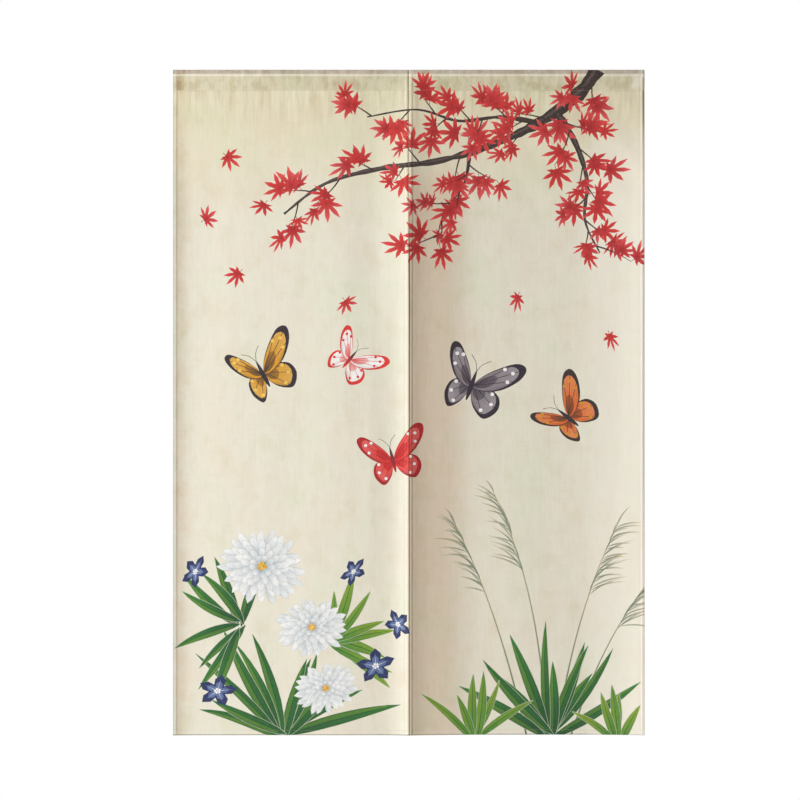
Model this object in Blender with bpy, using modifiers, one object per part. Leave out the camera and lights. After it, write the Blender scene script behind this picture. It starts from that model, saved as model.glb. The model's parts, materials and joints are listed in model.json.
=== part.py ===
"""A noren: a doorway curtain of two cloth panels, each with a rod pocket along its top.

The panels are sewn together down the middle for a short way and hang apart below.
Metres, +Z up, X across the doorway, and -Y towards the viewer. The origin is the middle
of the top edge, on the line where a rod carries the cloth.
"""

import math
from collections import namedtuple

import bmesh
import bpy
from mathutils import Matrix, Vector

# Cut of the curtain
WIDTH = 0.850
DROP = 1.200
SEAM_LENGTH = 0.250
CLOTH = 0.0012
HEM_THICKNESS = 0.0022
SIDE_HEM = 0.009
BOTTOM_HEM = 0.010
HEM_STEP = 0.0006

# Rod pocket: a roll round the rod, drawn in to a foot at its stitch line
POCKET_DEPTH = 0.037
POCKET_RADIUS = 0.007
POCKET_FOOT = 0.0030

# Fit of the pieces
PIECE_GAP = 0.0003
SLIT_LAP = 0.0010

# Mesh steps
PANEL_COLUMNS = 19
PANEL_ROWS = 26
SLEEVE_STEPS = 13
ROLL_STEPS = 14
WALL_STEPS = 3
SHARP_ANGLE = math.radians(40.0)

# Heights of the folds' columns below
LEVELS = (-POCKET_DEPTH, -SEAM_LENGTH, -0.330, -0.700, -DROP)
LAP_START = -0.330
LAP_END = -0.420

# Each row is a line down the curtain: its place across, and how far the cloth stands
# forward there at the stitch line, the seam's end, the slit's top, the middle and the hem.
Fold = namedtuple("Fold", "across stitch seam_end slit middle hem")

LEFT_FOLDS = (
    Fold(-0.425, 0.0014, 0.0056, 0.0054, 0.0050, 0.0066),
    Fold(-0.405, 0.0004, 0.0018, 0.0018, 0.0015, 0.0026),
    Fold(-0.380, 0.0000, 0.0003, 0.0002, 0.0003, 0.0008),
    Fold(-0.320, -0.0003, -0.0004, -0.0003, 0.0004, 0.0000),
    Fold(-0.220, -0.0004, 0.0008, 0.0011, 0.0015, 0.0004),
    Fold(-0.120, -0.0006, -0.0006, -0.0004, 0.0001, -0.0012),
    Fold(-0.060, -0.0006, -0.0013, -0.0012, -0.0010, -0.0019),
    Fold(-0.035, 0.0007, 0.0018, 0.0021, 0.0020, 0.0015),
    Fold(0.000, 0.0038, 0.0092, 0.0104, 0.0100, 0.0108),
)

RIGHT_FOLDS = (
    Fold(0.000, 0.0038, 0.0092, 0.0074, 0.0069, 0.0077),
    Fold(0.025, 0.0010, 0.0018, 0.0010, 0.0006, 0.0014),
    Fold(0.050, -0.0010, -0.0028, -0.0031, -0.0034, -0.0024),
    Fold(0.110, -0.0028, -0.0088, -0.0089, -0.0094, -0.0080),
    Fold(0.190, -0.0034, -0.0110, -0.0110, -0.0112, -0.0103),
    Fold(0.300, -0.0028, -0.0101, -0.0102, -0.0106, -0.0110),
    Fold(0.370, -0.0012, -0.0066, -0.0068, -0.0072, -0.0082),
    Fold(0.405, 0.0003, -0.0021, -0.0022, -0.0026, -0.0030),
    Fold(0.425, 0.0014, 0.0015, 0.0012, 0.0008, 0.0016),
)

# Linear colours of the cloth
CLOTH_COLOUR = (0.80, 0.74, 0.60, 1.0)
SLEEVE_COLOUR = (0.70, 0.64, 0.45, 1.0)
CLOTH_ROUGHNESS = 0.9


def clear_scene():
    """Removes what the file holds, so that the script can be run again."""
    for thing in list(bpy.data.objects):
        bpy.data.objects.remove(thing, do_unlink=True)
    for group in list(bpy.data.collections):
        bpy.data.collections.remove(group)


def cloth_material(name, colour):
    """Returns a matt cloth material of one colour."""
    material = bpy.data.materials.new(name)
    material.use_nodes = True
    shader = material.node_tree.nodes["Principled BSDF"]
    shader.inputs["Base Color"].default_value = colour
    shader.inputs["Roughness"].default_value = CLOTH_ROUGHNESS
    shader.inputs["Metallic"].default_value = 0.0
    return material


def eased(value):
    """Returns value, held between 0 and 1, with a soft start and end."""
    held = min(max(value, 0.0), 1.0)
    return held * held * (3.0 - 2.0 * held)


def through_points(places, values, at):
    """Returns the height at a place of the smooth curve through the given points."""
    last = len(places) - 1
    slopes = []
    for i in range(last + 1):
        before = max(i - 1, 0)
        after = min(i + 1, last)
        slopes.append((values[after] - values[before]) / (places[after] - places[before]))
    i = 0
    while i < last - 1 and at > places[i + 1]:
        i += 1
    span = places[i + 1] - places[i]
    t = min(max((at - places[i]) / span, 0.0), 1.0)
    start = (1.0 + 2.0 * t) * (1.0 - t) ** 2
    end = t * t * (3.0 - 2.0 * t)
    lead = t * (1.0 - t) ** 2 * span
    tail = t * t * (t - 1.0) * span
    return start * values[i] + end * values[i + 1] + lead * slopes[i] + tail * slopes[i + 1]


def forward(folds, across, height):
    """Returns how far the cloth's front stands forward of the pocket's foot."""
    places = [fold.across for fold in folds]
    column = 0
    while column < len(LEVELS) - 2 and height < LEVELS[column + 1]:
        column += 1
    upper = through_points(places, [fold[column + 1] for fold in folds], across)
    lower = through_points(places, [fold[column + 2] for fold in folds], across)
    share = eased((LEVELS[column] - height) / (LEVELS[column] - LEVELS[column + 1]))
    return upper + (lower - upper) * share


def lapped(across, height, lap):
    """Returns a place across, moved by lap at the slit's edge and by nothing outside."""
    share = eased((LAP_START - height) / (LAP_START - LAP_END))
    return across + lap * share * (1.0 - abs(across) / (WIDTH / 2.0))


def new_object(name, mesh, material, collection):
    """Puts a mesh in the collection as a smooth-shaded object with one material."""
    mesh.materials.append(material)
    mesh.shade_smooth()
    mesh.set_sharp_from_angle(angle=SHARP_ANGLE)
    thing = bpy.data.objects.new(name, mesh)
    collection.objects.link(thing)
    return thing


def add_wall(thing, thickness):
    """Gives an open sheet its thickness, on the side away from its normals."""
    wall = thing.modifiers.new("Cloth thickness", "SOLIDIFY")
    wall.thickness = thickness
    wall.offset = -1.0
    wall.use_rim = True


def draw_back(bm, thickness):
    """Draws a sheet's back straight out behind its front, by a thickness kept at each point."""
    drawn = bmesh.ops.extrude_face_region(bm, geom=bm.faces[:], use_keep_orig=True)
    for piece in drawn["geom"]:
        if isinstance(piece, bmesh.types.BMVert):
            piece.co.y += piece[thickness]
    bmesh.ops.recalc_face_normals(bm, faces=bm.faces[:])
    bm.verts.layers.float.remove(thickness)


def cut_across(bm, point, normal):
    """Adds a line of points to a flat sheet where a plane crosses it."""
    geometry = bm.verts[:] + bm.edges[:] + bm.faces[:]
    bmesh.ops.bisect_plane(bm, geom=geometry, plane_co=point, plane_no=normal)


def build_panel(name, left, right, folds, lap, material, collection):
    """Builds one hanging panel, with its side and bottom hems as part of the cloth."""
    top = -POCKET_DEPTH - PIECE_GAP
    middle = Vector(((left + right) / 2.0, 0.0, (top - DROP) / 2.0))
    size = Vector((right - left, 1.0, DROP + top))
    bm = bmesh.new()
    stand = Matrix.Translation(middle) @ Matrix.Rotation(math.pi / 2.0, 4, "X")
    stand = stand @ Matrix.Diagonal((size.x / 2.0, size.z / 2.0, 1.0, 1.0))
    bmesh.ops.create_grid(
        bm, x_segments=PANEL_COLUMNS, y_segments=PANEL_ROWS, size=1.0, matrix=stand
    )
    for inset in (SIDE_HEM, SIDE_HEM + HEM_STEP):
        cut_across(bm, (left + inset, 0, 0), (1, 0, 0))
        cut_across(bm, (right - inset, 0, 0), (1, 0, 0))
    for rise in (BOTTOM_HEM, BOTTOM_HEM + HEM_STEP):
        cut_across(bm, (0, 0, rise - DROP), (0, 0, 1))

    thickness = bm.verts.layers.float.new("thickness")
    edge = HEM_STEP / 2.0
    for vert in bm.verts:
        across = vert.co.x
        height = vert.co.z
        in_side = min(across - left, right - across) < SIDE_HEM + edge
        in_foot = height + DROP < BOTTOM_HEM + edge
        vert[thickness] = HEM_THICKNESS if in_side or in_foot else CLOTH
        vert.co.x = lapped(across, height, lap)
        vert.co.y = -POCKET_FOOT / 2.0 - forward(folds, across, height)
    draw_back(bm, thickness)

    mesh = bpy.data.meshes.new(name)
    bm.to_mesh(mesh)
    bm.free()
    new_object(name, mesh, material, collection)


def sleeve_section():
    """Returns the pocket's outline as (y, z) points: up its front, over, and down its back."""
    foot = POCKET_FOOT / 2.0
    fall = POCKET_DEPTH - POCKET_RADIUS
    lean = math.atan2(foot, fall)
    reach = math.acos(POCKET_RADIUS / math.hypot(foot, fall))
    start = lean + reach
    arc = []
    for i in range(ROLL_STEPS + 1):
        turn = start + (2.0 * math.pi - 2.0 * start) * i / ROLL_STEPS
        y = -POCKET_RADIUS * math.sin(turn)
        z = -POCKET_RADIUS - POCKET_RADIUS * math.cos(turn)
        arc.append((y, z))
    front_foot = Vector((-foot, -POCKET_DEPTH))
    front_top = Vector(arc[0])
    front = [tuple(front_foot.lerp(front_top, i / WALL_STEPS)) for i in range(WALL_STEPS)]
    back = [(-y, z) for y, z in reversed(front)]
    return front + arc + back


def build_sleeve(name, left, right, folds, material, collection):
    """Builds one rod pocket: a cloth wall round a space that is open at both ends.

    The two walls lean towards each other at the seam, so each ends a full gap short of it.
    """
    bm = bmesh.new()
    points = [bm.verts.new((left, y, z)) for y, z in sleeve_section()]
    ring = [bm.edges.new((a, b)) for a, b in zip(points, points[1:] + points[:1])]
    bmesh.ops.spin(
        bm,
        geom=points + ring,
        cent=(0, 0, 0),
        axis=(1, 0, 0),
        dvec=((right - left) / SLEEVE_STEPS, 0, 0),
        angle=0.0,
        steps=SLEEVE_STEPS,
        use_duplicate=False,
    )
    bmesh.ops.recalc_face_normals(bm, faces=bm.faces[:])
    for vert in bm.verts:
        fall = (-POCKET_RADIUS - vert.co.z) / (POCKET_DEPTH - POCKET_RADIUS)
        vert.co.y -= forward(folds, vert.co.x, -POCKET_DEPTH) * eased(fall)

    mesh = bpy.data.meshes.new(name)
    bm.to_mesh(mesh)
    bm.free()
    add_wall(new_object(name, mesh, material, collection), CLOTH)


def main():
    """Builds the curtain's two panels and the rod pocket of each."""
    clear_scene()
    collection = bpy.data.collections.new("noren_curtain")
    bpy.context.scene.collection.children.link(collection)
    cloth = cloth_material("printed_cloth", CLOTH_COLOUR)
    heading = cloth_material("heading_cloth", SLEEVE_COLOUR)
    edge = WIDTH / 2.0
    seam = PIECE_GAP / 2.0
    build_sleeve("left_sleeve", -edge, -PIECE_GAP, LEFT_FOLDS, heading, collection)
    build_sleeve("right_sleeve", PIECE_GAP, edge, RIGHT_FOLDS, heading, collection)
    build_panel("left_panel", -edge, -seam, LEFT_FOLDS, SLIT_LAP, cloth, collection)
    build_panel("right_panel", seam, edge, RIGHT_FOLDS, -SLIT_LAP, cloth, collection)


main()
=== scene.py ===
"""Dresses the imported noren: printed cloth, hems, stitches, light and camera.

Each panel is one sheet of cloth. It is laid out flat with its printed design cut into it,
then hung: its sides and foot turn back as hems, and its head rolls over as the rod pocket.
Metres, +Z up, X across the doorway, and -Y towards the viewer. Flat cloth is measured by
its place across and its height, which on the hanging front are the world's X and Z.
"""

import json
import logging
import math
from dataclasses import dataclass, field
from enum import Enum
from typing import Any, Callable, Optional, Sequence, Union

import bpy
import numpy as np
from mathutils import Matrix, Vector
from mathutils.geometry import delaunay_2d_cdt

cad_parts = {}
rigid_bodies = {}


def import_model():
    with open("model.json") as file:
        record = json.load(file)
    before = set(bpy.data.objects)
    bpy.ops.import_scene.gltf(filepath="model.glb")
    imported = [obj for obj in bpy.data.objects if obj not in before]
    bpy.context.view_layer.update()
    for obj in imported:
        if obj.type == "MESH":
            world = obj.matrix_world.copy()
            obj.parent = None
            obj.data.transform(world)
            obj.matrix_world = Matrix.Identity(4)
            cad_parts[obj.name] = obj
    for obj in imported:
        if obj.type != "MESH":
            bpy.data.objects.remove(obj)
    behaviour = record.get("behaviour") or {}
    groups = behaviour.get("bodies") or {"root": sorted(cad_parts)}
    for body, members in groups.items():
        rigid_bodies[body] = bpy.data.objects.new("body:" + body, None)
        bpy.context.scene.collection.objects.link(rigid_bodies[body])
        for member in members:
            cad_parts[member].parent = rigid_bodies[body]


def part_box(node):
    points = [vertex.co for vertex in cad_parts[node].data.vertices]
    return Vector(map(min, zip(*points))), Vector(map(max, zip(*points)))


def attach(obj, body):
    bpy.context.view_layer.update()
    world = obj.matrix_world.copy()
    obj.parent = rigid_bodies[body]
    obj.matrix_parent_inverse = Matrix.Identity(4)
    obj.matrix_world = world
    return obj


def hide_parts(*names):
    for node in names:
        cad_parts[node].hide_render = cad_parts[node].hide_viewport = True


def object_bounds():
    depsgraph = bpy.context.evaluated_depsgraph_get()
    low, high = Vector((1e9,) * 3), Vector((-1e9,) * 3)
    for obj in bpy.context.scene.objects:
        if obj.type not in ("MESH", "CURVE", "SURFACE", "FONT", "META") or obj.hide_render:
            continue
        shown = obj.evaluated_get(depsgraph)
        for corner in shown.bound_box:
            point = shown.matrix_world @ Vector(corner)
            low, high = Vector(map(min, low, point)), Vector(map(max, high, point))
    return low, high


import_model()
CAD_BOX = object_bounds()

LOG = logging.getLogger("noren")
FULL_TURN = 2.0 * math.pi
Points = np.ndarray
Number = Union[float, "Value"]

# The curtain, from the frame
EDGE = max(CAD_BOX[1].x, -CAD_BOX[0].x)
FOOT = CAD_BOX[0].z
STITCH_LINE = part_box("left_sleeve")[0].z
SEAM_END = -0.250

# Heights at which the depths of the folds are given
LEVELS = (STITCH_LINE, SEAM_END, -0.330, -0.700, FOOT)

# Where the panels' edges start to lap and where they lap in full, and how far each one moves
LAP_START = -0.330
LAP_END = -0.420
SLIT_LAP = 0.0004

# Half of the gap that stays between the two panels' edges
HALF_GAP = 0.00005

# Margins for comparing sums that should be equal
HAIR = 1e-6
TINY = 1e-7
SPECK = 1e-9


def eased(value: Any) -> Any:
    """Returns a number or array, held between 0 and 1, with a soft start and end."""
    held = np.clip(value, 0.0, 1.0)
    return held * held * (3.0 - 2.0 * held)


def unit(vector: Points) -> Points:
    """Returns a flat vector at length 1."""
    return vector / max(float(np.hypot(*vector)), SPECK)


def pointing(angle: float) -> Points:
    """Returns a flat vector of length 1 at an angle in radians from across."""
    return np.array((math.cos(angle), math.sin(angle)))


def left_of(vector: Points) -> Points:
    """Returns a flat vector turned a quarter to the left."""
    return np.array((-vector[1], vector[0]))


def turned(vector: Points, angle: float) -> Points:
    """Returns flat vectors turned anticlockwise by an angle in radians."""
    c, s = math.cos(angle), math.sin(angle)
    return np.asarray(vector) @ np.array(((c, s), (-s, c)))


def smooth_line(points: Sequence[Sequence[float]], steps: int, closed: bool = False) -> Points:
    """Draws a smooth curve through a few points.

    Args:
        points: The points that the curve goes through.
        steps: Steps between each pair of them.
        closed: Whether the curve runs back to its first point.

    Returns:
        The curve's points, one row each.
    """
    knots = np.asarray(points, dtype=float)
    count = len(knots)
    spans = count if closed else count - 1
    rows = []
    for i in range(spans):
        picks = (i - 1, i, i + 1, i + 2)
        if closed:
            a, b, c, d = (knots[k % count] for k in picks)
        else:
            a, b, c, d = (knots[min(max(k, 0), count - 1)] for k in picks)
        for t in np.arange(steps) / steps:
            lead = 2.0 * b + (c - a) * t
            curve = (2.0 * a - 5.0 * b + 4.0 * c - d) * t**2
            rows.append(0.5 * (lead + curve + (3.0 * b - a - 3.0 * c + d) * t**3))
    if not closed:
        rows.append(knots[-1])
    return np.array(rows)


def rounded(corners: Sequence[Sequence[float]], radii: Sequence[float], spans: int) -> Points:
    """Draws a line through corners, each turned into an arc.

    Args:
        corners: The line's ends and corners, in order.
        radii: Each inner corner's radius.
        spans: Straight steps in each arc.

    Returns:
        A row for each point: its place, and the line's way there.
    """
    knots = np.asarray(corners, dtype=float)
    rows = [(*knots[0], *unit(knots[1] - knots[0]))]
    for before, corner, after, radius in zip(knots, knots[1:], knots[2:], radii):
        arrive, leave = unit(corner - before), unit(after - corner)
        turn = math.atan2(arrive[0] * leave[1] - arrive[1] * leave[0], float(arrive @ leave))
        start = corner - arrive * radius * math.tan(abs(turn) / 2.0)
        side = math.copysign(radius, turn) * left_of(arrive)
        for k in range(spans + 1):
            share = turn * k / spans
            place = start + side + turned(-side, share)
            rows.append((*place, *turned(arrive, share)))
    rows.append((*knots[-1], *unit(knots[-1] - knots[-2])))
    return np.array(rows)


def within(places: Points, outline: Points) -> Points:
    """Finds the places that a closed outline runs round, however it crosses itself.

    Args:
        places: Flat places, one row each.
        outline: The outline's corners, one row each.

    Returns:
        True for each place that is inside.
    """
    ends = np.roll(outline, -1, axis=0)
    x, y = places[:, :1], places[:, 1:]
    rises = (outline[:, 1] <= y) & (ends[:, 1] > y)
    falls = (outline[:, 1] > y) & (ends[:, 1] <= y)
    run = ends - outline
    side = run[:, 0] * (y - outline[:, 1]) - (x - outline[:, 0]) * run[:, 1]
    turns = (rises & (side > 0.0)).sum(axis=1) - (falls & (side < 0.0)).sum(axis=1)
    return turns != 0


# Shader maths


def node_maths(operation: str, swapped: bool = False) -> Callable:
    """Makes a method of Value for one of Python's operators.

    Args:
        operation: What the Math node works out.
        swapped: Whether the other number comes first.

    Returns:
        The method.
    """

    def method(value: "Value", other: Number = 0.0) -> "Value":
        """Returns the result of one Math node."""
        first, second = (other, value) if swapped else (value, other)
        return value.graph.add("ShaderNodeMath", {"operation": operation}, {0: first, 1: second})

    return method


class Value:
    """A shader socket that can be used in Python sums."""

    __add__ = node_maths("ADD")
    __radd__ = node_maths("ADD", swapped=True)
    __sub__ = node_maths("SUBTRACT")
    __rsub__ = node_maths("SUBTRACT", swapped=True)
    __mul__ = node_maths("MULTIPLY")
    __rmul__ = node_maths("MULTIPLY", swapped=True)
    __abs__ = node_maths("ABSOLUTE")

    def __init__(self, graph: "Graph", socket: bpy.types.NodeSocket) -> None:
        """Keeps a socket and the graph that new nodes go into."""
        self.graph = graph
        self.socket = socket


class Graph:
    """The node tree of one material or world."""

    def __init__(self, tree: bpy.types.NodeTree) -> None:
        """Starts with an empty tree."""
        self.tree = tree
        tree.nodes.clear()

    def add(
        self,
        kind: str,
        settings: Optional[dict] = None,
        inputs: Optional[dict] = None,
        output: Union[int, str] = 0,
    ) -> Value:
        """Makes one node.

        Args:
            kind: The node's type.
            settings: Its properties, set first. "stops" holds a ramp's places and colours.
            inputs: What its sockets hold: numbers, colours or values.
            output: The socket that is returned.

        Returns:
            One of the node's outputs.
        """
        node = self.tree.nodes.new(kind)
        for name, setting in (settings or {}).items():
            if name == "stops":
                self._set_stops(node.color_ramp, setting)
            else:
                setattr(node, name, setting)
        for key, given in (inputs or {}).items():
            if isinstance(given, Value):
                self.tree.links.new(given.socket, node.inputs[key])
            else:
                node.inputs[key].default_value = given
        return Value(self, node.outputs[output] if node.outputs else None)

    @staticmethod
    def _set_stops(ramp: bpy.types.ColorRamp, stops: Sequence) -> None:
        """Gives a ramp its stops.

        Args:
            ramp: The ramp.
            stops: Places from 0 to 1, each with a colour.
        """
        while len(ramp.elements) < len(stops):
            ramp.elements.new(1.0)
        for element, (place, colour) in zip(ramp.elements, stops):
            element.position = place
            element.color = colour

    def attribute(self, name: str, part: str) -> Value:
        """Returns one of the outputs of a mesh attribute."""
        return self.add("ShaderNodeAttribute", {"attribute_name": name}, {}, part)

    def grey(self, tone: Value) -> Value:
        """Returns a tone as a grey colour."""
        return self.add("ShaderNodeCombineColor", {}, {0: tone, 1: tone, 2: tone})

    def mix(self, factor: Number, first: Any, second: Any, blend: str = "MIX") -> Value:
        """Blends two colours.

        Args:
            factor: How much of the second.
            first: The first colour.
            second: The second colour.
            blend: The way of blending.

        Returns:
            The blended colour.
        """
        settings = {"data_type": "RGBA", "blend_type": blend, "clamp_factor": True}
        inputs = {0: factor, 6: first, 7: second}
        return self.add("ShaderNodeMix", settings, inputs, 2)

    def ramp(self, value: Value, stops: Sequence) -> Value:
        """Returns a value read through a ramp."""
        return self.add("ShaderNodeValToRGB", {"stops": stops}, {0: value})

    def between(self, value: Number, low: float, high: float) -> Value:
        """Returns 0 before low and 1 past high, with a soft step between them."""
        inputs = {"Value": value, "From Min": low, "From Max": high}
        return self.add("ShaderNodeMapRange", {"interpolation_type": "SMOOTHSTEP"}, inputs)

    def band(self, value: Number, rise: Sequence[float], fall: Sequence[float]) -> Value:
        """Returns 1 along a stretch, with a soft step up to it and one down after it."""
        return self.between(value, *rise) * self.between(value, *fall)

    def near(self, value: Value, low: float, high: float) -> Value:
        """Returns 1 within low of nought, and 0 past high on either side."""
        return 1.0 - self.between(abs(value), low, high)

    def noise(self, place: Value, scale: Sequence[float], detail: float, move: float) -> Value:
        """Makes cloudy noise.

        Args:
            place: The coordinates.
            scale: How many features a metre, along each coordinate.
            detail: How many finer layers it has.
            move: A shift that makes it unlike other noise.

        Returns:
            Noise about 0.5.
        """
        settings = {"operation": "MULTIPLY_ADD"}
        shift = (move, move * 1.7, move * 0.6)
        spread = self.add("ShaderNodeVectorMath", settings, {0: place, 1: scale, 2: shift})
        inputs = {"Vector": spread, "Scale": 1.0, "Detail": detail, "Roughness": 0.55}
        return self.add("ShaderNodeTexNoise", {}, inputs)

    def close(self, inputs: dict) -> None:
        """Ends the tree with a Principled shader that has these inputs."""
        shader = self.add("ShaderNodeBsdfPrincipled", {}, inputs)
        self.add("ShaderNodeOutputMaterial", {}, {"Surface": shader})


def new_material(name: str) -> tuple[bpy.types.Material, Graph]:
    """Makes a material with an empty node tree.

    Args:
        name: Its name.

    Returns:
        The material and its graph.
    """
    material = bpy.data.materials.new(name)
    material.use_nodes = True
    return material, Graph(material.node_tree)


# Finishes


@dataclass(frozen=True)
class Ink:
    """A colour as it is seen, each part from 0 to 255."""

    red: float
    green: float
    blue: float

    def linear(self) -> tuple[float, float, float]:
        """Returns the colour as a shader reads it."""
        parts = (self.red / 255.0, self.green / 255.0, self.blue / 255.0)
        return tuple(p / 12.92 if p < 0.04045 else ((p + 0.055) / 1.055) ** 2.4 for p in parts)

    def rgba(self) -> tuple[float, float, float, float]:
        """Returns the colour as a shader reads it, opaque."""
        return (*self.linear(), 1.0)

    def towards(self, other: "Ink", share: float) -> "Ink":
        """Returns a colour part of the way to another.

        Args:
            other: The other colour.
            share: How far towards it, from 0 to 1.

        Returns:
            The colour between them.
        """
        mine = (self.red, self.green, self.blue)
        theirs = (other.red, other.green, other.blue)
        return Ink(*(a + (b - a) * share for a, b in zip(mine, theirs)))


CORAL = Ink(222, 52, 48)
DEEP_RED = Ink(176, 26, 34)
ROSE = Ink(232, 104, 108)
BARK = Ink(56, 44, 42)
BARK_LIGHT = Ink(104, 88, 84)
GOLD = Ink(218, 150, 26)
PALE_GOLD = Ink(240, 200, 92)
ORANGE = Ink(226, 104, 34)
SOOT = Ink(46, 38, 50)
ASH = Ink(132, 122, 128)
SPRING_GREEN = Ink(140, 166, 46)
LEAF_GREEN = Ink(56, 128, 50)
DEEP_GREEN = Ink(22, 78, 42)
PALE_GREEN = Ink(226, 232, 204)
INDIGO = Ink(36, 50, 96)
SLATE_BLUE = Ink(92, 112, 158)
WHITE = Ink(246, 246, 240)
MIST_GREY = Ink(176, 190, 194)
GREY_GREEN = Ink(98, 122, 104)
STRAW = Ink(196, 178, 130)

FULL_WHITE = (1.0, 1.0, 1.0, 1.0)
StainsAndShade = list[tuple[Value, Ink]]


class ClothPlace:
    """A place on the flat cloth, as the cloth's shader reads it."""

    def __init__(self, graph: Graph, crease: float) -> None:
        """Reads the place, and works out what several stains and painted shades share.

        Args:
            graph: The material's nodes.
            crease: The flat height at which the pocket's front ends.
        """
        self.graph = graph
        self.flat = graph.add("ShaderNodeUVMap", {"uv_map": "cloth"})
        self.across = graph.add("ShaderNodeSeparateXYZ", {}, {0: self.flat}, "X")
        self.height = graph.add("ShaderNodeSeparateXYZ", {}, {0: self.flat}, "Y")
        self.from_left = self.across + EDGE
        self.from_right = EDGE - self.across
        self.rise = self.height - FOOT
        self.top_strip = graph.between(self.height, crease - 0.0002, crease + 0.0004)
        over_stitches = graph.between(self.height, STITCH_LINE - 0.001, STITCH_LINE + 0.001)
        self.heading = over_stitches * (1.0 - self.top_strip)
        self.upper = graph.between(self.height, -0.86, -0.72)
        self.uneven = self.noise(24.0, 30.0, 3.0, 21.0)
        self.fine = self.noise(62.0, 34.0, 2.0, 25.0)

    def noise(self, across: float, up: float, detail: float, move: float) -> Value:
        """Makes cloudy noise on the cloth.

        Args:
            across: How many features a metre across.
            up: How many features a metre up.
            detail: How many finer layers it has.
            move: A shift that makes it unlike other noise.

        Returns:
            Noise about 0.5.
        """
        return self.graph.noise(self.flat, (across, up, 1.0), detail, move)


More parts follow.
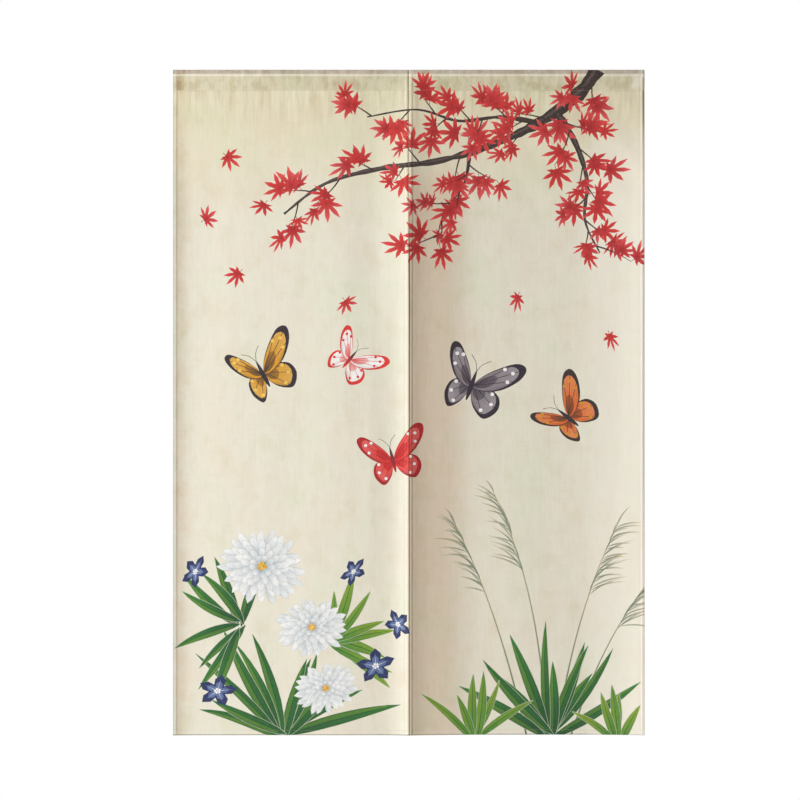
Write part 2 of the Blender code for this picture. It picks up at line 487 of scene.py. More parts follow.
@dataclass(frozen=True)
class ClothFinish:
    """One side of the cloth: aged cream linen, its weave, the inks printed on it, and painted shade
    and painted highlights.
    """

    name: str
    ground: Ink
    crease: float
    # How strongly the stains show on this side, and also the painted shade and painted highlights
    marking: float
    ink_share: float
    weave: float
    thread_pitch: float = 0.0011
    head_tint: Ink = Ink(251, 248, 235)
    # Painted shade over the rod pocket's band, standing in for its doubled, downward-leaning front
    pocket_shade: Ink = Ink(245, 246, 245)
    smudge: Ink = Ink(224, 216, 200)
    soil: Ink = Ink(198, 180, 150)
    # Painted shade in the left hem's stitch groove
    hem_groove_shade: Ink = Ink(240, 234, 235)
    ochre: Ink = Ink(254, 251, 245)
    blush: Ink = Ink(252, 246, 242)
    # Painted shade: grey lines along the outer edges, the foot and the pocket's top strip, where the
    # cloth turns away from the light
    left_edge_shade: Ink = Ink(214, 222, 230)
    top_strip_shade: Ink = Ink(236, 228, 229)
    right_edge_shade: Ink = Ink(176, 176, 171)
    foot_edge_shade: Ink = Ink(194, 193, 188)
    # Painted shade: beside the slit, under the lapping edge, before the left ridge, across the
    # heading's middle and in the seam's groove
    slit_shade: Ink = Ink(243, 231, 223)
    lap_shade: Ink = Ink(204, 192, 166)
    ridge_shade: Ink = Ink(250, 249, 248)
    heading_shade: Ink = Ink(247, 246, 243)
    seam_shade: Ink = Ink(206, 188, 154)
    # Painted highlight: the pale colour mixed in where the crease, the hems and the right side catch
    # the light
    lit: Ink = Ink(250, 245, 228)

    def _mottled(self, cloth: ClothPlace) -> Value:
        """Mixes the cream ground: faint green and pink clouds, tan specks and slubs.

        Args:
            cloth: The place on the cloth.

        Returns:
            The colour.
        """
        graph = cloth.graph
        clouds = cloth.noise(11.0, 9.0, 3.0, 3.1)
        patches = cloth.noise(31.0, 24.0, 3.0, 11.7)
        streaks = cloth.noise(620.0, 11.0, 3.0, 5.3)
        cross = cloth.noise(14.0, 480.0, 2.0, 8.9)
        green, pink = (0.965, 1.0, 0.965, 1.0), (1.0, 0.972, 0.955, 1.0)
        hues = graph.ramp(clouds, ((0.36, green), (0.5, FULL_WHITE), (0.66, pink)))
        colour = graph.mix(1.0, self.ground.rgba(), hues, "MULTIPLY")
        specks = graph.ramp(patches, ((0.33, (0.955, 0.945, 0.90, 1.0)), (0.50, FULL_WHITE)))
        colour = graph.mix(0.8, colour, specks, "MULTIPLY")
        thread = graph.grey(0.935 + 0.09 * streaks + 0.04 * cross)
        return graph.mix(1.0, colour, thread, "MULTIPLY")

    def _heading_stains_and_shade(self, cloth: ClothPlace) -> StainsAndShade:
        """Finds how the rod pocket and the cloth below it have yellowed and soiled, and where shade is
        painted over the pocket's band, its middle and its top strip.

        Args:
            cloth: The place on the cloth.

        Returns:
            Each stain's and painted shade's share and tint.
        """
        graph, across, height = cloth.graph, cloth.across, cloth.height
        yellowed = graph.between(height, -0.33, -0.06) * (1.0 - cloth.top_strip)
        off_seam = graph.between(abs(across), 0.005, 0.032)
        smudged = graph.between(cloth.fine, 0.42, 0.66) * off_seam
        soft_heading = graph.between(height, STITCH_LINE - 0.008, STITCH_LINE + 0.006)
        below = graph.between(height, STITCH_LINE - 0.085, STITCH_LINE) * (1.0 - cloth.heading)
        streaked = graph.between(cloth.noise(95.0, 13.0, 2.0, 27.0), 0.40, 0.72)
        middle = graph.band(across, (-0.31, -0.22), (0.29, 0.19))
        return [
            (yellowed, self.head_tint),
            # Painted shade over the rod pocket's band
            (cloth.heading * (0.3 + 0.7 * off_seam), self.pocket_shade),
            (smudged * (0.05 + 0.57 * soft_heading), self.smudge),
            (streaked * below * 0.55, self.smudge),
            # Painted shade across the heading's middle, and along the top strip where the pocket rolls
            # back away from the light
            (middle * cloth.heading, self.heading_shade),
            (cloth.top_strip * self.marking, self.top_strip_shade),
        ]

    def _left_stains_and_shade(self, cloth: ClothPlace) -> StainsAndShade:
        """Finds the stains along the left hem, and the painted shade in its stitch groove and along
        its outer edge.

        Args:
            cloth: The place on the cloth.

        Returns:
            Each stain's and painted shade's share and tint.
        """
        graph, inset = cloth.graph, cloth.from_left
        ochre = graph.band(inset, (0.0052, 0.0075), (0.024, 0.010))
        blush = graph.band(inset, (0.005, 0.012), (0.040, 0.018))
        hem_groove_shade = graph.band(inset, (0.0052, 0.0066), (0.0120, 0.0085))
        corner = graph.band(inset, (0.004, 0.009), (0.024, 0.009)) * cloth.heading
        corner = corner * graph.between(cloth.uneven + 0.5 * cloth.fine, 0.60, 0.84)
        stains_and_shade = (
            (ochre, self.ochre),
            (blush * graph.between(cloth.uneven, 0.35, 0.60), self.blush),
            # Painted shade in the hem's stitch groove, mottled
            (hem_groove_shade * (0.35 + 0.7 * cloth.fine), self.hem_groove_shade),
            (corner * 0.55, self.soil),
            # Painted shade along the outer edge, where the cloth turns away from the light
            (graph.near(inset, 0.0018, 0.0030), self.left_edge_shade),
        )
        return [(share * self.marking, tint) for share, tint in stains_and_shade]

    def _edge_shade(self, cloth: ClothPlace) -> StainsAndShade:
        """Finds the painted shade along the right edge and the foot, where the cloth turns away from
        the light.

        Args:
            cloth: The place on the cloth.

        Returns:
            Each painted shade's share and tint.
        """
        # Painted shade along the right edge and the foot
        right = cloth.graph.near(cloth.from_right, 0.0031, 0.0041)
        right = right * (0.42 + 0.58 * cloth.upper) * (1.0 - 0.30 * cloth.heading)
        foot = cloth.graph.near(cloth.rise, 0.0012, 0.0024)
        return [(right * self.marking, self.right_edge_shade), (foot * self.marking, self.foot_edge_shade)]

    def _middle_shade(self, cloth: ClothPlace) -> StainsAndShade:
        """Finds the painted shade beside the seam and the slit: the slit's shadow, the dip before the
        left ridge, the shadow under the lapping edge, and the seam's groove.

        Args:
            cloth: The place on the cloth.

        Returns:
            Each painted shade's share and tint.
        """
        graph, across, height = cloth.graph, cloth.across, cloth.height
        slit = graph.band(across, (0.0, 0.003), (0.135, 0.055))
        ridge = graph.band(across, (-0.078, -0.060), (-0.012, -0.032))
        lap = graph.band(across, (0.0001, 0.0005), (0.0032, 0.0018)) * self.marking
        seam = graph.near(across, 0.0007, 0.0018) * self.marking
        # Painted shadow and painted shade by the slit and in the seam's groove
        return [
            (slit * graph.between(height, -0.15, -0.26), self.slit_shade),
            (ridge * graph.between(height, -0.36, -0.50), self.ridge_shade),
            (lap * graph.between(height, SEAM_END + 0.004, SEAM_END - 0.012), self.lap_shade),
            (seam * 0.5, self.seam_shade),
        ]

    def _painted_highlights(self, cloth: ClothPlace) -> list[tuple[Value, float]]:
        """Finds the stretches painted lighter, as painted highlights: under the top strip, at the
        pocket's right corner, along the right hem and the foot hem, and on the right side.

        Args:
            cloth: The place on the cloth.

        Returns:
            Where each lies, and how much lighter it is.
        """
        graph, height, inset = cloth.graph, cloth.height, cloth.from_right
        under_strip = graph.between(abs(height - self.crease + 0.0026), 0.0028, 0.0010)
        patch = graph.band(inset + 0.5 * (height - STITCH_LINE), (0.011, 0.016), (0.034, 0.026))
        patch = patch * graph.between(height, STITCH_LINE - 0.004, STITCH_LINE + 0.010)
        hem = graph.band(inset, (0.0040, 0.0046), (0.0085, 0.0060)) * (0.25 + 0.75 * cloth.upper)
        foot = graph.band(cloth.rise, (0.0020, 0.0030), (0.0105, 0.0085))
        side = graph.between(cloth.across, 0.305, 0.350) * graph.between(height, -0.07, -0.17)
        return [(under_strip, 0.55), (patch, 0.45), (hem, 0.40), (foot, 0.12), (side, 0.55)]

    def _ground(self, cloth: ClothPlace) -> Value:
        """Mixes the unprinted cloth, with the stains that age and handling left on it, and painted
        shade and painted highlights.

        Args:
            cloth: The place on the cloth.

        Returns:
            The ground's colour.
        """
        graph, colour = cloth.graph, self._mottled(cloth)
        stains_and_shade = self._heading_stains_and_shade(cloth) + self._left_stains_and_shade(cloth)
        stains_and_shade = stains_and_shade + self._edge_shade(cloth) + self._middle_shade(cloth)
        # The tints are real stains and painted shade, each multiplied in by its share
        for share, tint in stains_and_shade:
            stained_or_shaded = graph.mix(1.0, colour, tint.rgba(), "MULTIPLY")
            colour = graph.mix(share, colour, stained_or_shaded)
        # Painted highlights, mixed in towards a pale colour
        for share, amount in self._painted_highlights(cloth):
            colour = graph.mix(share * (amount * self.marking), colour, self.lit.rgba())
        return colour

    def _inked(self, cloth: ClothPlace, ground: Value) -> tuple[Value, Value]:
        """Lays the printed inks on the ground.

        Args:
            cloth: The place on the cloth.
            ground: The ground's colour.

        Returns:
            The finished colour, and how much of it is ink.
        """
        graph = cloth.graph
        ink, cover = (graph.attribute("ink", part) for part in ("Color", "Alpha"))
        stroke = graph.attribute("stroke", "Vector")
        side = graph.add("ShaderNodeSeparateXYZ", {}, {0: stroke}, "Y")
        rim = graph.between(abs(side), 0.62, 1.0)
        pools = cloth.noise(110.0, 110.0, 4.0, 2.2)
        fibres = graph.noise(stroke, (40.0, 5.0, 9.0), 3.0, 1.3)
        grain = cloth.noise(900.0, 900.0, 1.0, 4.4)
        wash = graph.grey(0.72 + 0.34 * pools + 0.34 * fibres - 0.24 * rim)
        amount = cover * self.ink_share * (0.90 + 0.16 * grain)
        return graph.mix(amount, ground, graph.mix(1.0, ink, wash, "MULTIPLY")), amount

    def _surface(self, cloth: ClothPlace) -> Value:
        """Works out the cloth's fine relief.

        Args:
            cloth: The place on the cloth.

        Returns:
            Relief in metres.
        """
        graph, across, height = cloth.graph, cloth.across, cloth.height
        turns = FULL_TURN / self.thread_pitch
        sine = {"operation": "SINE"}
        warp, weft = (graph.add("ShaderNodeMath", sine, {0: way * turns}) for way in (across, height))
        slubs = cloth.noise(520.0, 16.0, 2.0, 6.1)
        picks = cloth.noise(18.0, 460.0, 2.0, 9.2)
        creases = cloth.noise(34.0, 15.0, 2.0, 14.2)
        drag = cloth.noise(110.0, 16.0, 2.0, 17.0)
        pull = cloth.noise(30.0, 130.0, 2.0, 19.0)
        in_pocket = graph.between(height, STITCH_LINE - 0.090, STITCH_LINE - 0.004)
        near_side = graph.between(abs(across), EDGE - 0.026, EDGE - 0.008)
        near_slit = graph.near(across, 0.006, 0.020)
        relief = (warp + weft) * 0.00003 * self.weave + (slubs + picks) * 0.00010 * self.weave
        relief = relief + creases * 0.0008 + drag * in_pocket * 0.0008
        return relief + pull * (near_side + near_slit * 0.7) * 0.0005

    def build(self) -> bpy.types.Material:
        """Makes the material.

        Returns:
            The material.
        """
        material, graph = new_material(self.name)
        cloth = ClothPlace(graph, self.crease)
        colour, amount = self._inked(cloth, self._ground(cloth))
        bump = {"Height": self._surface(cloth), "Distance": 1.0, "Strength": 1.0}
        fuzz = cloth.noise(60.0, 60.0, 2.0, 30.0)
        inputs = {
            "Base Color": colour,
            "Roughness": 0.80 + 0.16 * fuzz - 0.06 * amount,
            "Normal": graph.add("ShaderNodeBump", {}, bump),
            "Sheen Weight": 0.12,
            "Sheen Roughness": 0.6,
            "Specular IOR Level": 0.25,
        }
        graph.close(inputs)
        return material


@dataclass(frozen=True)
class ThreadFinish:
    """Sewing thread: twisted, a little glossier than the cloth."""

    name: str
    colour: Ink
    twist: float = 1900.0

    def build(self) -> bpy.types.Material:
        """Makes the material.

        Returns:
            The material.
        """
        material, graph = new_material(self.name)
        place = graph.add("ShaderNodeTexCoord", {}, {}, "Object")
        plies = graph.noise(place, (self.twist, self.twist, self.twist), 1.0, 1.0)
        soil = graph.noise(place, (25.0, 25.0, 25.0), 2.0, 4.0)
        marking = graph.ramp(soil, ((0.3, (0.82, 0.78, 0.70, 1.0)), (0.7, FULL_WHITE)))
        colour = graph.mix(1.0, self.colour.rgba(), marking, "MULTIPLY")
        normal = graph.add("ShaderNodeBump", {}, {"Height": plies, "Distance": 0.0002})
        graph.close({"Base Color": colour, "Roughness": 0.55 + 0.2 * plies, "Normal": normal})
        return material


@dataclass(frozen=True)
class FloorFinish:
    """A plain pale floor."""

    name: str = "pale_floor"
    colour: Ink = Ink(224, 223, 220)

    def build(self) -> bpy.types.Material:
        """Makes the material.

        Returns:
            The material.
        """
        material = bpy.data.materials.new(self.name)
        material.use_nodes = True
        shader = material.node_tree.nodes["Principled BSDF"]
        shader.inputs["Base Color"].default_value = self.colour.rgba()
        shader.inputs["Roughness"].default_value = 0.9
        return material


# The printed design


class Fall(Enum):
    """The side to which a grass head droops."""

    LEFT = -1.0
    RIGHT = 1.0


@dataclass
class Mark:
    """One printed shape: its outline, and the inks from its root to its tip."""

    outline: Points
    root: Points
    tip: Points
    half_width: float
    root_ink: Ink
    tip_ink: Ink
    cover: float = 1.0
    line: Optional[Points] = None
    widths: Optional[Points] = None
    radial: bool = False

    def _beside(self, places: Points) -> tuple[Points, Points]:
        """Works out the same as local, for a mark that follows a line.

        Args:
            places: Flat places, one row each.

        Returns:
            How far along the line each lies, and how far across it.
        """
        runs = np.diff(self.line, axis=0)
        lengths = np.maximum(np.hypot(*runs.T), SPECK)
        away = places[:, None, :] - self.line[:-1]
        share = np.clip((away * runs).sum(axis=2) / lengths**2, 0.0, 1.0)
        gaps = away - share[:, :, None] * runs
        nearest = np.hypot(gaps[:, :, 0], gaps[:, :, 1]).argmin(axis=1)
        rows = np.arange(len(places))
        run, gap, share = runs[nearest], away[rows, nearest], share[rows, nearest]
        side = (run[:, 0] * gap[:, 1] - run[:, 1] * gap[:, 0]) / lengths[nearest]
        half = self.widths[nearest] + (self.widths[nearest + 1] - self.widths[nearest]) * share
        walked = np.concatenate(((0.0,), np.cumsum(lengths)))
        along = (walked[nearest] + share * lengths[nearest]) / walked[-1]
        return along, np.clip(2.0 * side / np.maximum(half, 1e-5), -1.0, 1.0)

    def local(self, places: Points) -> tuple[Points, Points]:
        """Works out where places lie on the mark.

        Args:
            places: Flat places, one row each.

        Returns:
            How far along it each lies, from 0 to 1, and how far across it, to 1.
        """
        if self.line is not None:
            return self._beside(places)
        spine = np.asarray(self.tip) - np.asarray(self.root)
        length = max(float(np.hypot(*spine)), HAIR)
        way = spine / length
        away = places - np.asarray(self.root)
        along = away @ way / length
        across = (away @ left_of(way)) / max(self.half_width, HAIR)
        if self.radial:
            along = np.hypot(*away.T) / length
        return along, across

    def inks(self, places: Points) -> Points:
        """Mixes the mark's inks.

        Args:
            places: Flat places, one row each.

        Returns:
            Red, green, blue and cover at each place.
        """
        share = eased(self.local(places)[0])[:, None]
        first = np.array(self.root_ink.linear())
        last = np.array(self.tip_ink.linear())
        cover = np.full(len(places), self.cover)
        return np.column_stack((first + (last - first) * share, cover))


class Brush:
    """Draws marks of each kind, later ones over earlier ones."""

    def __init__(self, seed: int) -> None:
        """Starts with no marks and its own random numbers."""
        self.marks: list[Mark] = []
        self.random = np.random.default_rng(seed)

    def about(self, middle: float, spread: float) -> float:
        """Returns a random number within a spread of a middle."""
        return float(self.random.uniform(middle - spread, middle + spread))

    def add(self, outline: Points, root: Points, tip: Points, inks: Sequence[Ink], **more) -> None:
        """Adds a mark.

        Args:
            outline: Its outline.
            root: Where its first ink lies.
            tip: Where its last ink lies.
            inks: The first and the last ink.
            more: Mark's other fields.
        """
        root = np.asarray(root, dtype=float)
        tip = np.asarray(tip, dtype=float)
        if "half_width" not in more:
            away = outline - root
            way = unit(tip - root)
            more["half_width"] = float(np.abs(away @ left_of(way)).max())
        self.marks.append(Mark(outline, root, tip, root_ink=inks[0], tip_ink=inks[-1], **more))

    def stroke(self, line: Points, widths: Points, inks: Sequence[Ink], **more) -> None:
        """Draws a brush stroke.

        Args:
            line: The points that it follows.
            widths: Its width at each of them.
            inks: The first and the last ink.
            more: Mark's other fields.
        """
        ways = np.gradient(line, axis=0)
        ways = ways / np.maximum(np.hypot(ways[:, 0], ways[:, 1]), SPECK)[:, None]
        widths = np.asarray(widths, dtype=float)
        sides = np.column_stack((-ways[:, 1], ways[:, 0])) * widths[:, None] / 2.0
        outline = np.vstack((line + sides, (line - sides)[::-1]))
        self.add(outline, line[0], line[-1], inks, line=line, widths=widths, **more)

    @staticmethod
    def blade(
        root: Sequence[float],
        angle: float,
        length: float,
        width: float,
        bow: float = 0.0,
        fullest: float = 0.5,
        steps: int = 8,
    ) -> tuple[Points, Points]:
        """Shapes a leaf or petal with a pointed tip.

        Args:
            root: Where it starts.
            angle: Which way it starts, in radians from across.
            length: Its length.
            width: Its greatest width.
            bow: How far it bends, as a share of its length.
            fullest: How far along it is widest.
            steps: Steps along each side.

        Returns:
            Its middle line, and its width at each of the line's points.
        """
        t = np.linspace(0.0, 1.0, steps + 1)
        way = pointing(angle)
        side = left_of(way)
        line = np.asarray(root) + np.outer(t * length, way)
        line = line + np.outer(bow * length * t**2, side)
        lean = math.log(0.5) / math.log(fullest)
        swell = np.sin(math.pi * t**lean)
        return line, width * np.maximum(swell, 0.0) ** 0.8 + width * 0.02

    def dot(self, middle: Sequence[float], radius: float, ink: Ink, sides: int = 9) -> None:
        """Draws a round spot.

        Args:
            middle: Its middle.
            radius: Its radius.
            ink: Its ink.
            sides: How many sides its outline has.
        """
        turns = np.arange(sides) * FULL_TURN / sides
        ring = np.column_stack((np.cos(turns), np.sin(turns))) * radius
        middle = np.asarray(middle)
        self.add(ring + middle, middle, middle + (radius, 0.0), (ink, ink))


@dataclass
class MapleBranch:
    """A hanging branch with red leaves."""

    limbs: Sequence[tuple]
    leaf: float = 0.034
    lobes: Sequence[float] = (0.52, 0.80, 0.95, 1.0, 0.95, 0.80, 0.52)
    lobe_turn: float = math.radians(39.0)

    def leaf_at(self, brush: Brush, stalk: Points, angle: float, size: float) -> None:
        """Draws one leaf on a short stalk.

        Args:
            brush: What draws it.
            stalk: Where its stalk starts.
            angle: Which way it points.
            size: Its length.
        """
        shade = brush.random.random()
        heart_ink = DEEP_RED.towards(CORAL, shade * 0.55)
        tip_ink = CORAL.towards(ROSE, 0.15 + 0.75 * brush.random.random())
        way = pointing(angle)
        middle = stalk + way * size * 0.35
        squash = brush.about(0.78, 0.2)
        across = brush.about(0.0, math.pi)
        shape = []
        spikes = []
        for i, reach in enumerate(self.lobes):
            turn = (i - 3) * self.lobe_turn
            for offset, radius in ((-0.5, 0.30), (-0.26, 0.66), (0.0, 1.0), (0.26, 0.66)):
                share = radius * reach if radius > 0.3 else radius
                spot = turn + offset * self.lobe_turn
                shape.append((math.cos(spot) * share, math.sin(spot) * share))
            spikes.append((math.cos(turn - 0.3) * 0.05, math.sin(turn - 0.3) * 0.05))
            spikes.append((math.cos(turn) * reach * 0.8, math.sin(turn) * reach * 0.8))
        shape.append((-0.16, 0.12))
        shape.append((-0.16, -0.12))

        def placed(points: Sequence) -> Points:
            """Returns a leaf's own points, tilted and turned into place."""
            tilted = turned(turned(np.array(points), -across) * (1.0, squash), across)
            return middle + turned(tilted * size, angle)

        self.stem(brush, stalk, middle)
        outline = placed(shape)
        tip = middle + way * size * 0.95
        brush.add(outline, middle, tip, (heart_ink, tip_ink), half_width=size * 1.3, radial=True)
        vein = heart_ink.towards(BARK, 0.35)
        brush.add(placed(spikes), middle, middle + way * size, (vein, vein), cover=0.5)

    @staticmethod
    def stem(brush: Brush, start: Points, end: Points) -> None:
        """Draws a leaf's stalk."""
        line = np.array((start, (start + end) / 2.0, end))
        brush.stroke(line, np.array((0.0011, 0.0009, 0.0008)), (DEEP_RED, BARK))

    def draw(self, brush: Brush) -> None:
        """Draws the limbs, then their twigs and leaves.

        Args:
            brush: What draws it.
        """
        spots = []
        for points, thick, thin, twigs in self.limbs:
            line = smooth_line(points, 7)
            share = np.linspace(0.0, 1.0, len(line))
            widths = thick + (thin - thick) * share**0.7
            widths = widths * (1.0 + 0.16 * brush.random.standard_normal(len(line)))
            widths = np.maximum(widths, thin * 0.7)
            brush.stroke(line, widths, (BARK, BARK.towards(BARK_LIGHT, 0.3)))
            if thick > 0.010:
                shift = np.column_stack((np.zeros(len(line)), widths * 0.16))
                lit = (line + shift)[1:-2]
                brush.stroke(lit, widths[1:-2] * 0.26, (BARK_LIGHT, BARK_LIGHT), cover=0.55)
            for i in range(twigs):
                at = int((i + brush.about(0.6, 0.3)) / twigs * (len(line) - 2)) + 1
                spots.append((line[at], line[at] - line[at - 1], i))
        for start, way, i in spots:
            heading = math.atan2(way[1], way[0]) + brush.about(0.75, 0.35) * (-1) ** i
            length = brush.about(0.050, 0.020)
            bend = brush.about(0.0, 0.25)
            away = pointing(heading)
            side = left_of(away)
            t = np.linspace(0.0, 1.0, 6)
            twig = start + np.outer(t * length, away) + np.outer(bend * length * t**2, side)
            brush.stroke(twig, 0.0030 - 0.0020 * t, (BARK, BARK))
            for j in range(3):
                place = twig[2 + j] if j < 2 else twig[-1]
                self.leaf_at(brush, place, brush.about(heading, 1.1), brush.about(self.leaf, 0.008))


@dataclass
class Butterfly:
    """A butterfly with open wings, seen a little from one side."""

    middle: Sequence[float]
    span: float
    angle: float
    wing: Ink
    border: Ink
    spots: Ink
    near_share: float = 0.8
    shoulder: Sequence[float] = (0.03, -0.02)
    veins: Sequence[int] = (2, 3, 4)
    fore: Sequence = (
        (0.02, -0.02), (0.16, 0.20), (0.46, 0.44), (0.62, 0.42),
        (0.58, 0.24), (0.38, 0.03), (0.14, -0.06),
    )
    hind: Sequence = (
        (0.02, -0.02), (0.20, 0.02), (0.40, -0.06), (0.44, -0.24),
        (0.30, -0.40), (0.12, -0.30), (0.03, -0.14),
    )

    def _placed(self, points: Sequence, side: float) -> Points:
        """Returns points of a wing on one side, turned into place."""
        scale = np.array((side, 1.0)) * self.span
        return np.asarray(self.middle) + turned(np.array(points) * scale, self.angle)

    def _wing(self, brush: Brush, table: Sequence, side: float) -> None:
        """Draws one wing: its border, its two tones, its veins and its spots.

        Args:
            brush: What draws it.
            table: The wing's outline.
            side: Which side it is on, and how broad it is seen.
        """
        rim = smooth_line(table, 4, closed=True)
        root = np.array(self.shoulder)
        near, far = self._placed((root, table[3]), side)
        layers = (
            (rim, self.border, self.border, 1.0),
            (root + (rim - root) * 0.86, self.wing, self.wing.towards(WHITE, 0.25), 0.96),
            (root + (rim - root) * 0.45, self.border.towards(self.wing, 0.4), self.wing, 1.0),
        )
        for outline, first, last, cover in layers:
            brush.add(self._placed(outline, side), near, far, (first, last), cover=cover)
        for k in self.veins:
            end = root + (np.array(table[k]) - root) * 0.90
            line = self._placed((root, (root + end) / 2.0, end), side)
            brush.stroke(line, np.full(3, self.span * 0.008), (self.border, self.border))
        for k in self.veins:
            spot = root + (np.array(table[k]) - root) * 0.74
            brush.dot(self._placed([spot], side)[0], self.span * 0.026, self.spots)

    def draw(self, brush: Brush) -> None:
        """Draws the wings, and the body and feelers over them.

        Args:
            brush: What draws it.
        """
        for side in (1.0, -self.near_share):
            for table in (self.hind, self.fore):
                self._wing(brush, table, side)
        middle = np.asarray(self.middle)
        way = turned(np.array((0.0, 1.0)), self.angle)
        tail = middle - way * self.span * 0.24
        head = middle + way * self.span * 0.17
        t = np.linspace(0.0, 1.0, 8)
        widths = self.span * (0.015 + 0.05 * np.sin(math.pi * t**0.8))
        brush.stroke(tail + np.outer(t, head - tail), widths, (self.border, SOOT))
        for side in (1.0, -1.0):
            bends = np.array(((0.0, 0.17), (0.05 * side, 0.28), (0.14 * side, 0.36)))
            feeler = smooth_line(middle + turned(bends, self.angle) * self.span, 3)
            brush.stroke(feeler, np.full(len(feeler), self.span * 0.007), (SOOT, SOOT))


@dataclass
class Chrysanthemum:
    """A full flower head of many narrow petals."""

    middle: Sequence[float]
    radius: float
    tilt: float
    angle: float
    rings: Sequence[tuple[int, float]] = ((22, 1.0), (20, 0.84), (17, 0.66), (13, 0.48), (9, 0.30))
    eye_dots: int = 14
    eye_turn: float = 2.4

    def draw(self, brush: Brush) -> None:
        """Draws the petals from the outermost ring inwards, then the eye.

        Args:
            brush: What draws it.
        """
        middle = np.asarray(self.middle)
        for ring, (count, reach) in enumerate(self.rings):
            for i in range(count):
                turn = (i + 0.5 * (ring % 2)) * FULL_TURN / count + brush.about(0.0, 0.07)
                length = self.radius * reach * brush.about(0.95, 0.07)
                way = np.array((math.cos(turn), math.sin(turn) * self.tilt))
                way = turned(way, self.angle)
                far = middle + way * length
                near = middle + way * length * 0.18
                spine = far - near
                width = self.radius * (0.19 if ring < 3 else 0.16)
                shade = MIST_GREY.towards(SLATE_BLUE, brush.random.random() * 0.3)
                tip = WHITE.towards(MIST_GREY, brush.random.random() * 0.25)
                heading = math.atan2(spine[1], spine[0])
                size = float(np.hypot(*spine))
                bow = brush.about(0.0, 0.12)
                line, widths = brush.blade(near, heading, size, width, bow, 0.68, 7)
                brush.stroke(line, widths, (shade, tip))
        for i in range(self.eye_dots):
            reach = np.array((math.sqrt(i / self.eye_dots), 0.0))
            spot = middle + turned(reach, i * self.eye_turn) * self.radius * 0.10
            brush.dot(spot, self.radius * 0.028, PALE_GOLD.towards(GOLD, brush.random.random()), 7)


@dataclass
class Bellflower:
    """An open star of five indigo petals."""

    middle: Sequence[float]
    radius: float
    angle: float
    tilt: float = 0.8
    petals: int = 5
    profile: Sequence[tuple[float, float]] = (
        (-0.5, 0.46), (-0.30, 0.80), (-0.12, 0.93), (0.0, 1.08), (0.12, 0.93), (0.30, 0.80),
    )

    def _placed(self, points: Sequence) -> Points:
        """Returns the flower's own points, tilted and turned into place."""
        tilted = np.array(points) * (1.0, self.tilt) * self.radius
        return np.asarray(self.middle) + turned(tilted, self.angle)

    def draw(self, brush: Brush) -> None:
        """Draws the petals, their veins and the pale centre.

        Args:
            brush: What draws it.
        """
        middle = np.asarray(self.middle)
        far = self._placed([(1.0, 0.0)])[0]
        for scale, ink in ((1.0, INDIGO), (0.62, SLATE_BLUE)):
            shape = []
            for i in range(self.petals):
                for offset, reach in self.profile:
                    turn = (i + offset) * FULL_TURN / self.petals
                    shape.append((math.cos(turn) * reach * scale, math.sin(turn) * reach * scale))
            inks = (ink, ink.towards(INDIGO, 0.5))
            brush.add(self._placed(shape), middle, far, inks, half_width=self.radius * 1.4)
        for i in range(self.petals):
            turn = i * FULL_TURN / self.petals
            tip = (math.cos(turn) * 0.9, math.sin(turn) * 0.9)
            line = self._placed(((0.0, 0.0), (tip[0] / 2.0, tip[1] / 2.0), tip))
            brush.stroke(line, np.array((0.0016, 0.0012, 0.0006)), (WHITE, INDIGO), cover=0.7)
            bud = (math.cos(turn + 0.5) * 0.13, math.sin(turn + 0.5) * 0.13)
            brush.dot(self._placed([bud])[0], self.radius * 0.06, WHITE, 6)


@dataclass
class LeafSpray:
    """Lance-shaped leaves that fan out from a stem."""

    root: Sequence[float]
    count: int
    length: float
    width: float
    first_turn: float
    last_turn: float
    dark: Ink
    light: Ink
    resist: float = 0.0020

    def draw(self, brush: Brush) -> None:
        """Draws each leaf: a pale rim, its two tones and its midrib.

        Args:
            brush: What draws it.
        """
        for i in range(self.count):
            share = (i + 0.5) / self.count
            turn = self.first_turn + (self.last_turn - self.first_turn) * share
            turn = turn + brush.about(0.0, 0.10)
            length = self.length * brush.about(0.82, 0.2)
            width = self.width * brush.about(0.9, 0.15)
            start = np.asarray(self.root) + (brush.about(0.0, 0.008), brush.about(0.0, 0.008))
            shade = brush.random.random()
            near_ink = self.dark.towards(self.light, shade * 0.5)
            far_ink = self.light.towards(self.dark, shade * 0.6)
            bow = brush.about(0.0, 0.22)
            line, widths = brush.blade(start, turn, length, width, bow, 0.42, 9)
            brush.stroke(line, widths + self.resist, (PALE_GREEN, PALE_GREEN), cover=0.6)
            brush.stroke(line, widths, (near_ink, far_ink))
            shift = np.gradient(line, axis=0)
            shift = np.column_stack((-shift[:, 1], shift[:, 0]))
            shift = shift / np.hypot(*shift.T)[:, None] * widths[:, None] * 0.23
            glow = (near_ink.towards(SPRING_GREEN, 0.45), far_ink.towards(SPRING_GREEN, 0.5))
            brush.stroke((line + shift)[1:-1], widths[1:-1] * 0.42, glow, cover=0.75)
            rib = near_ink.towards(DEEP_GREEN, 0.7)
            widths = width * (0.11 - 0.07 * np.linspace(0.0, 1.0, len(line) - 2))
            brush.stroke(line[1:-1], widths, (rib, rib), cover=0.9)


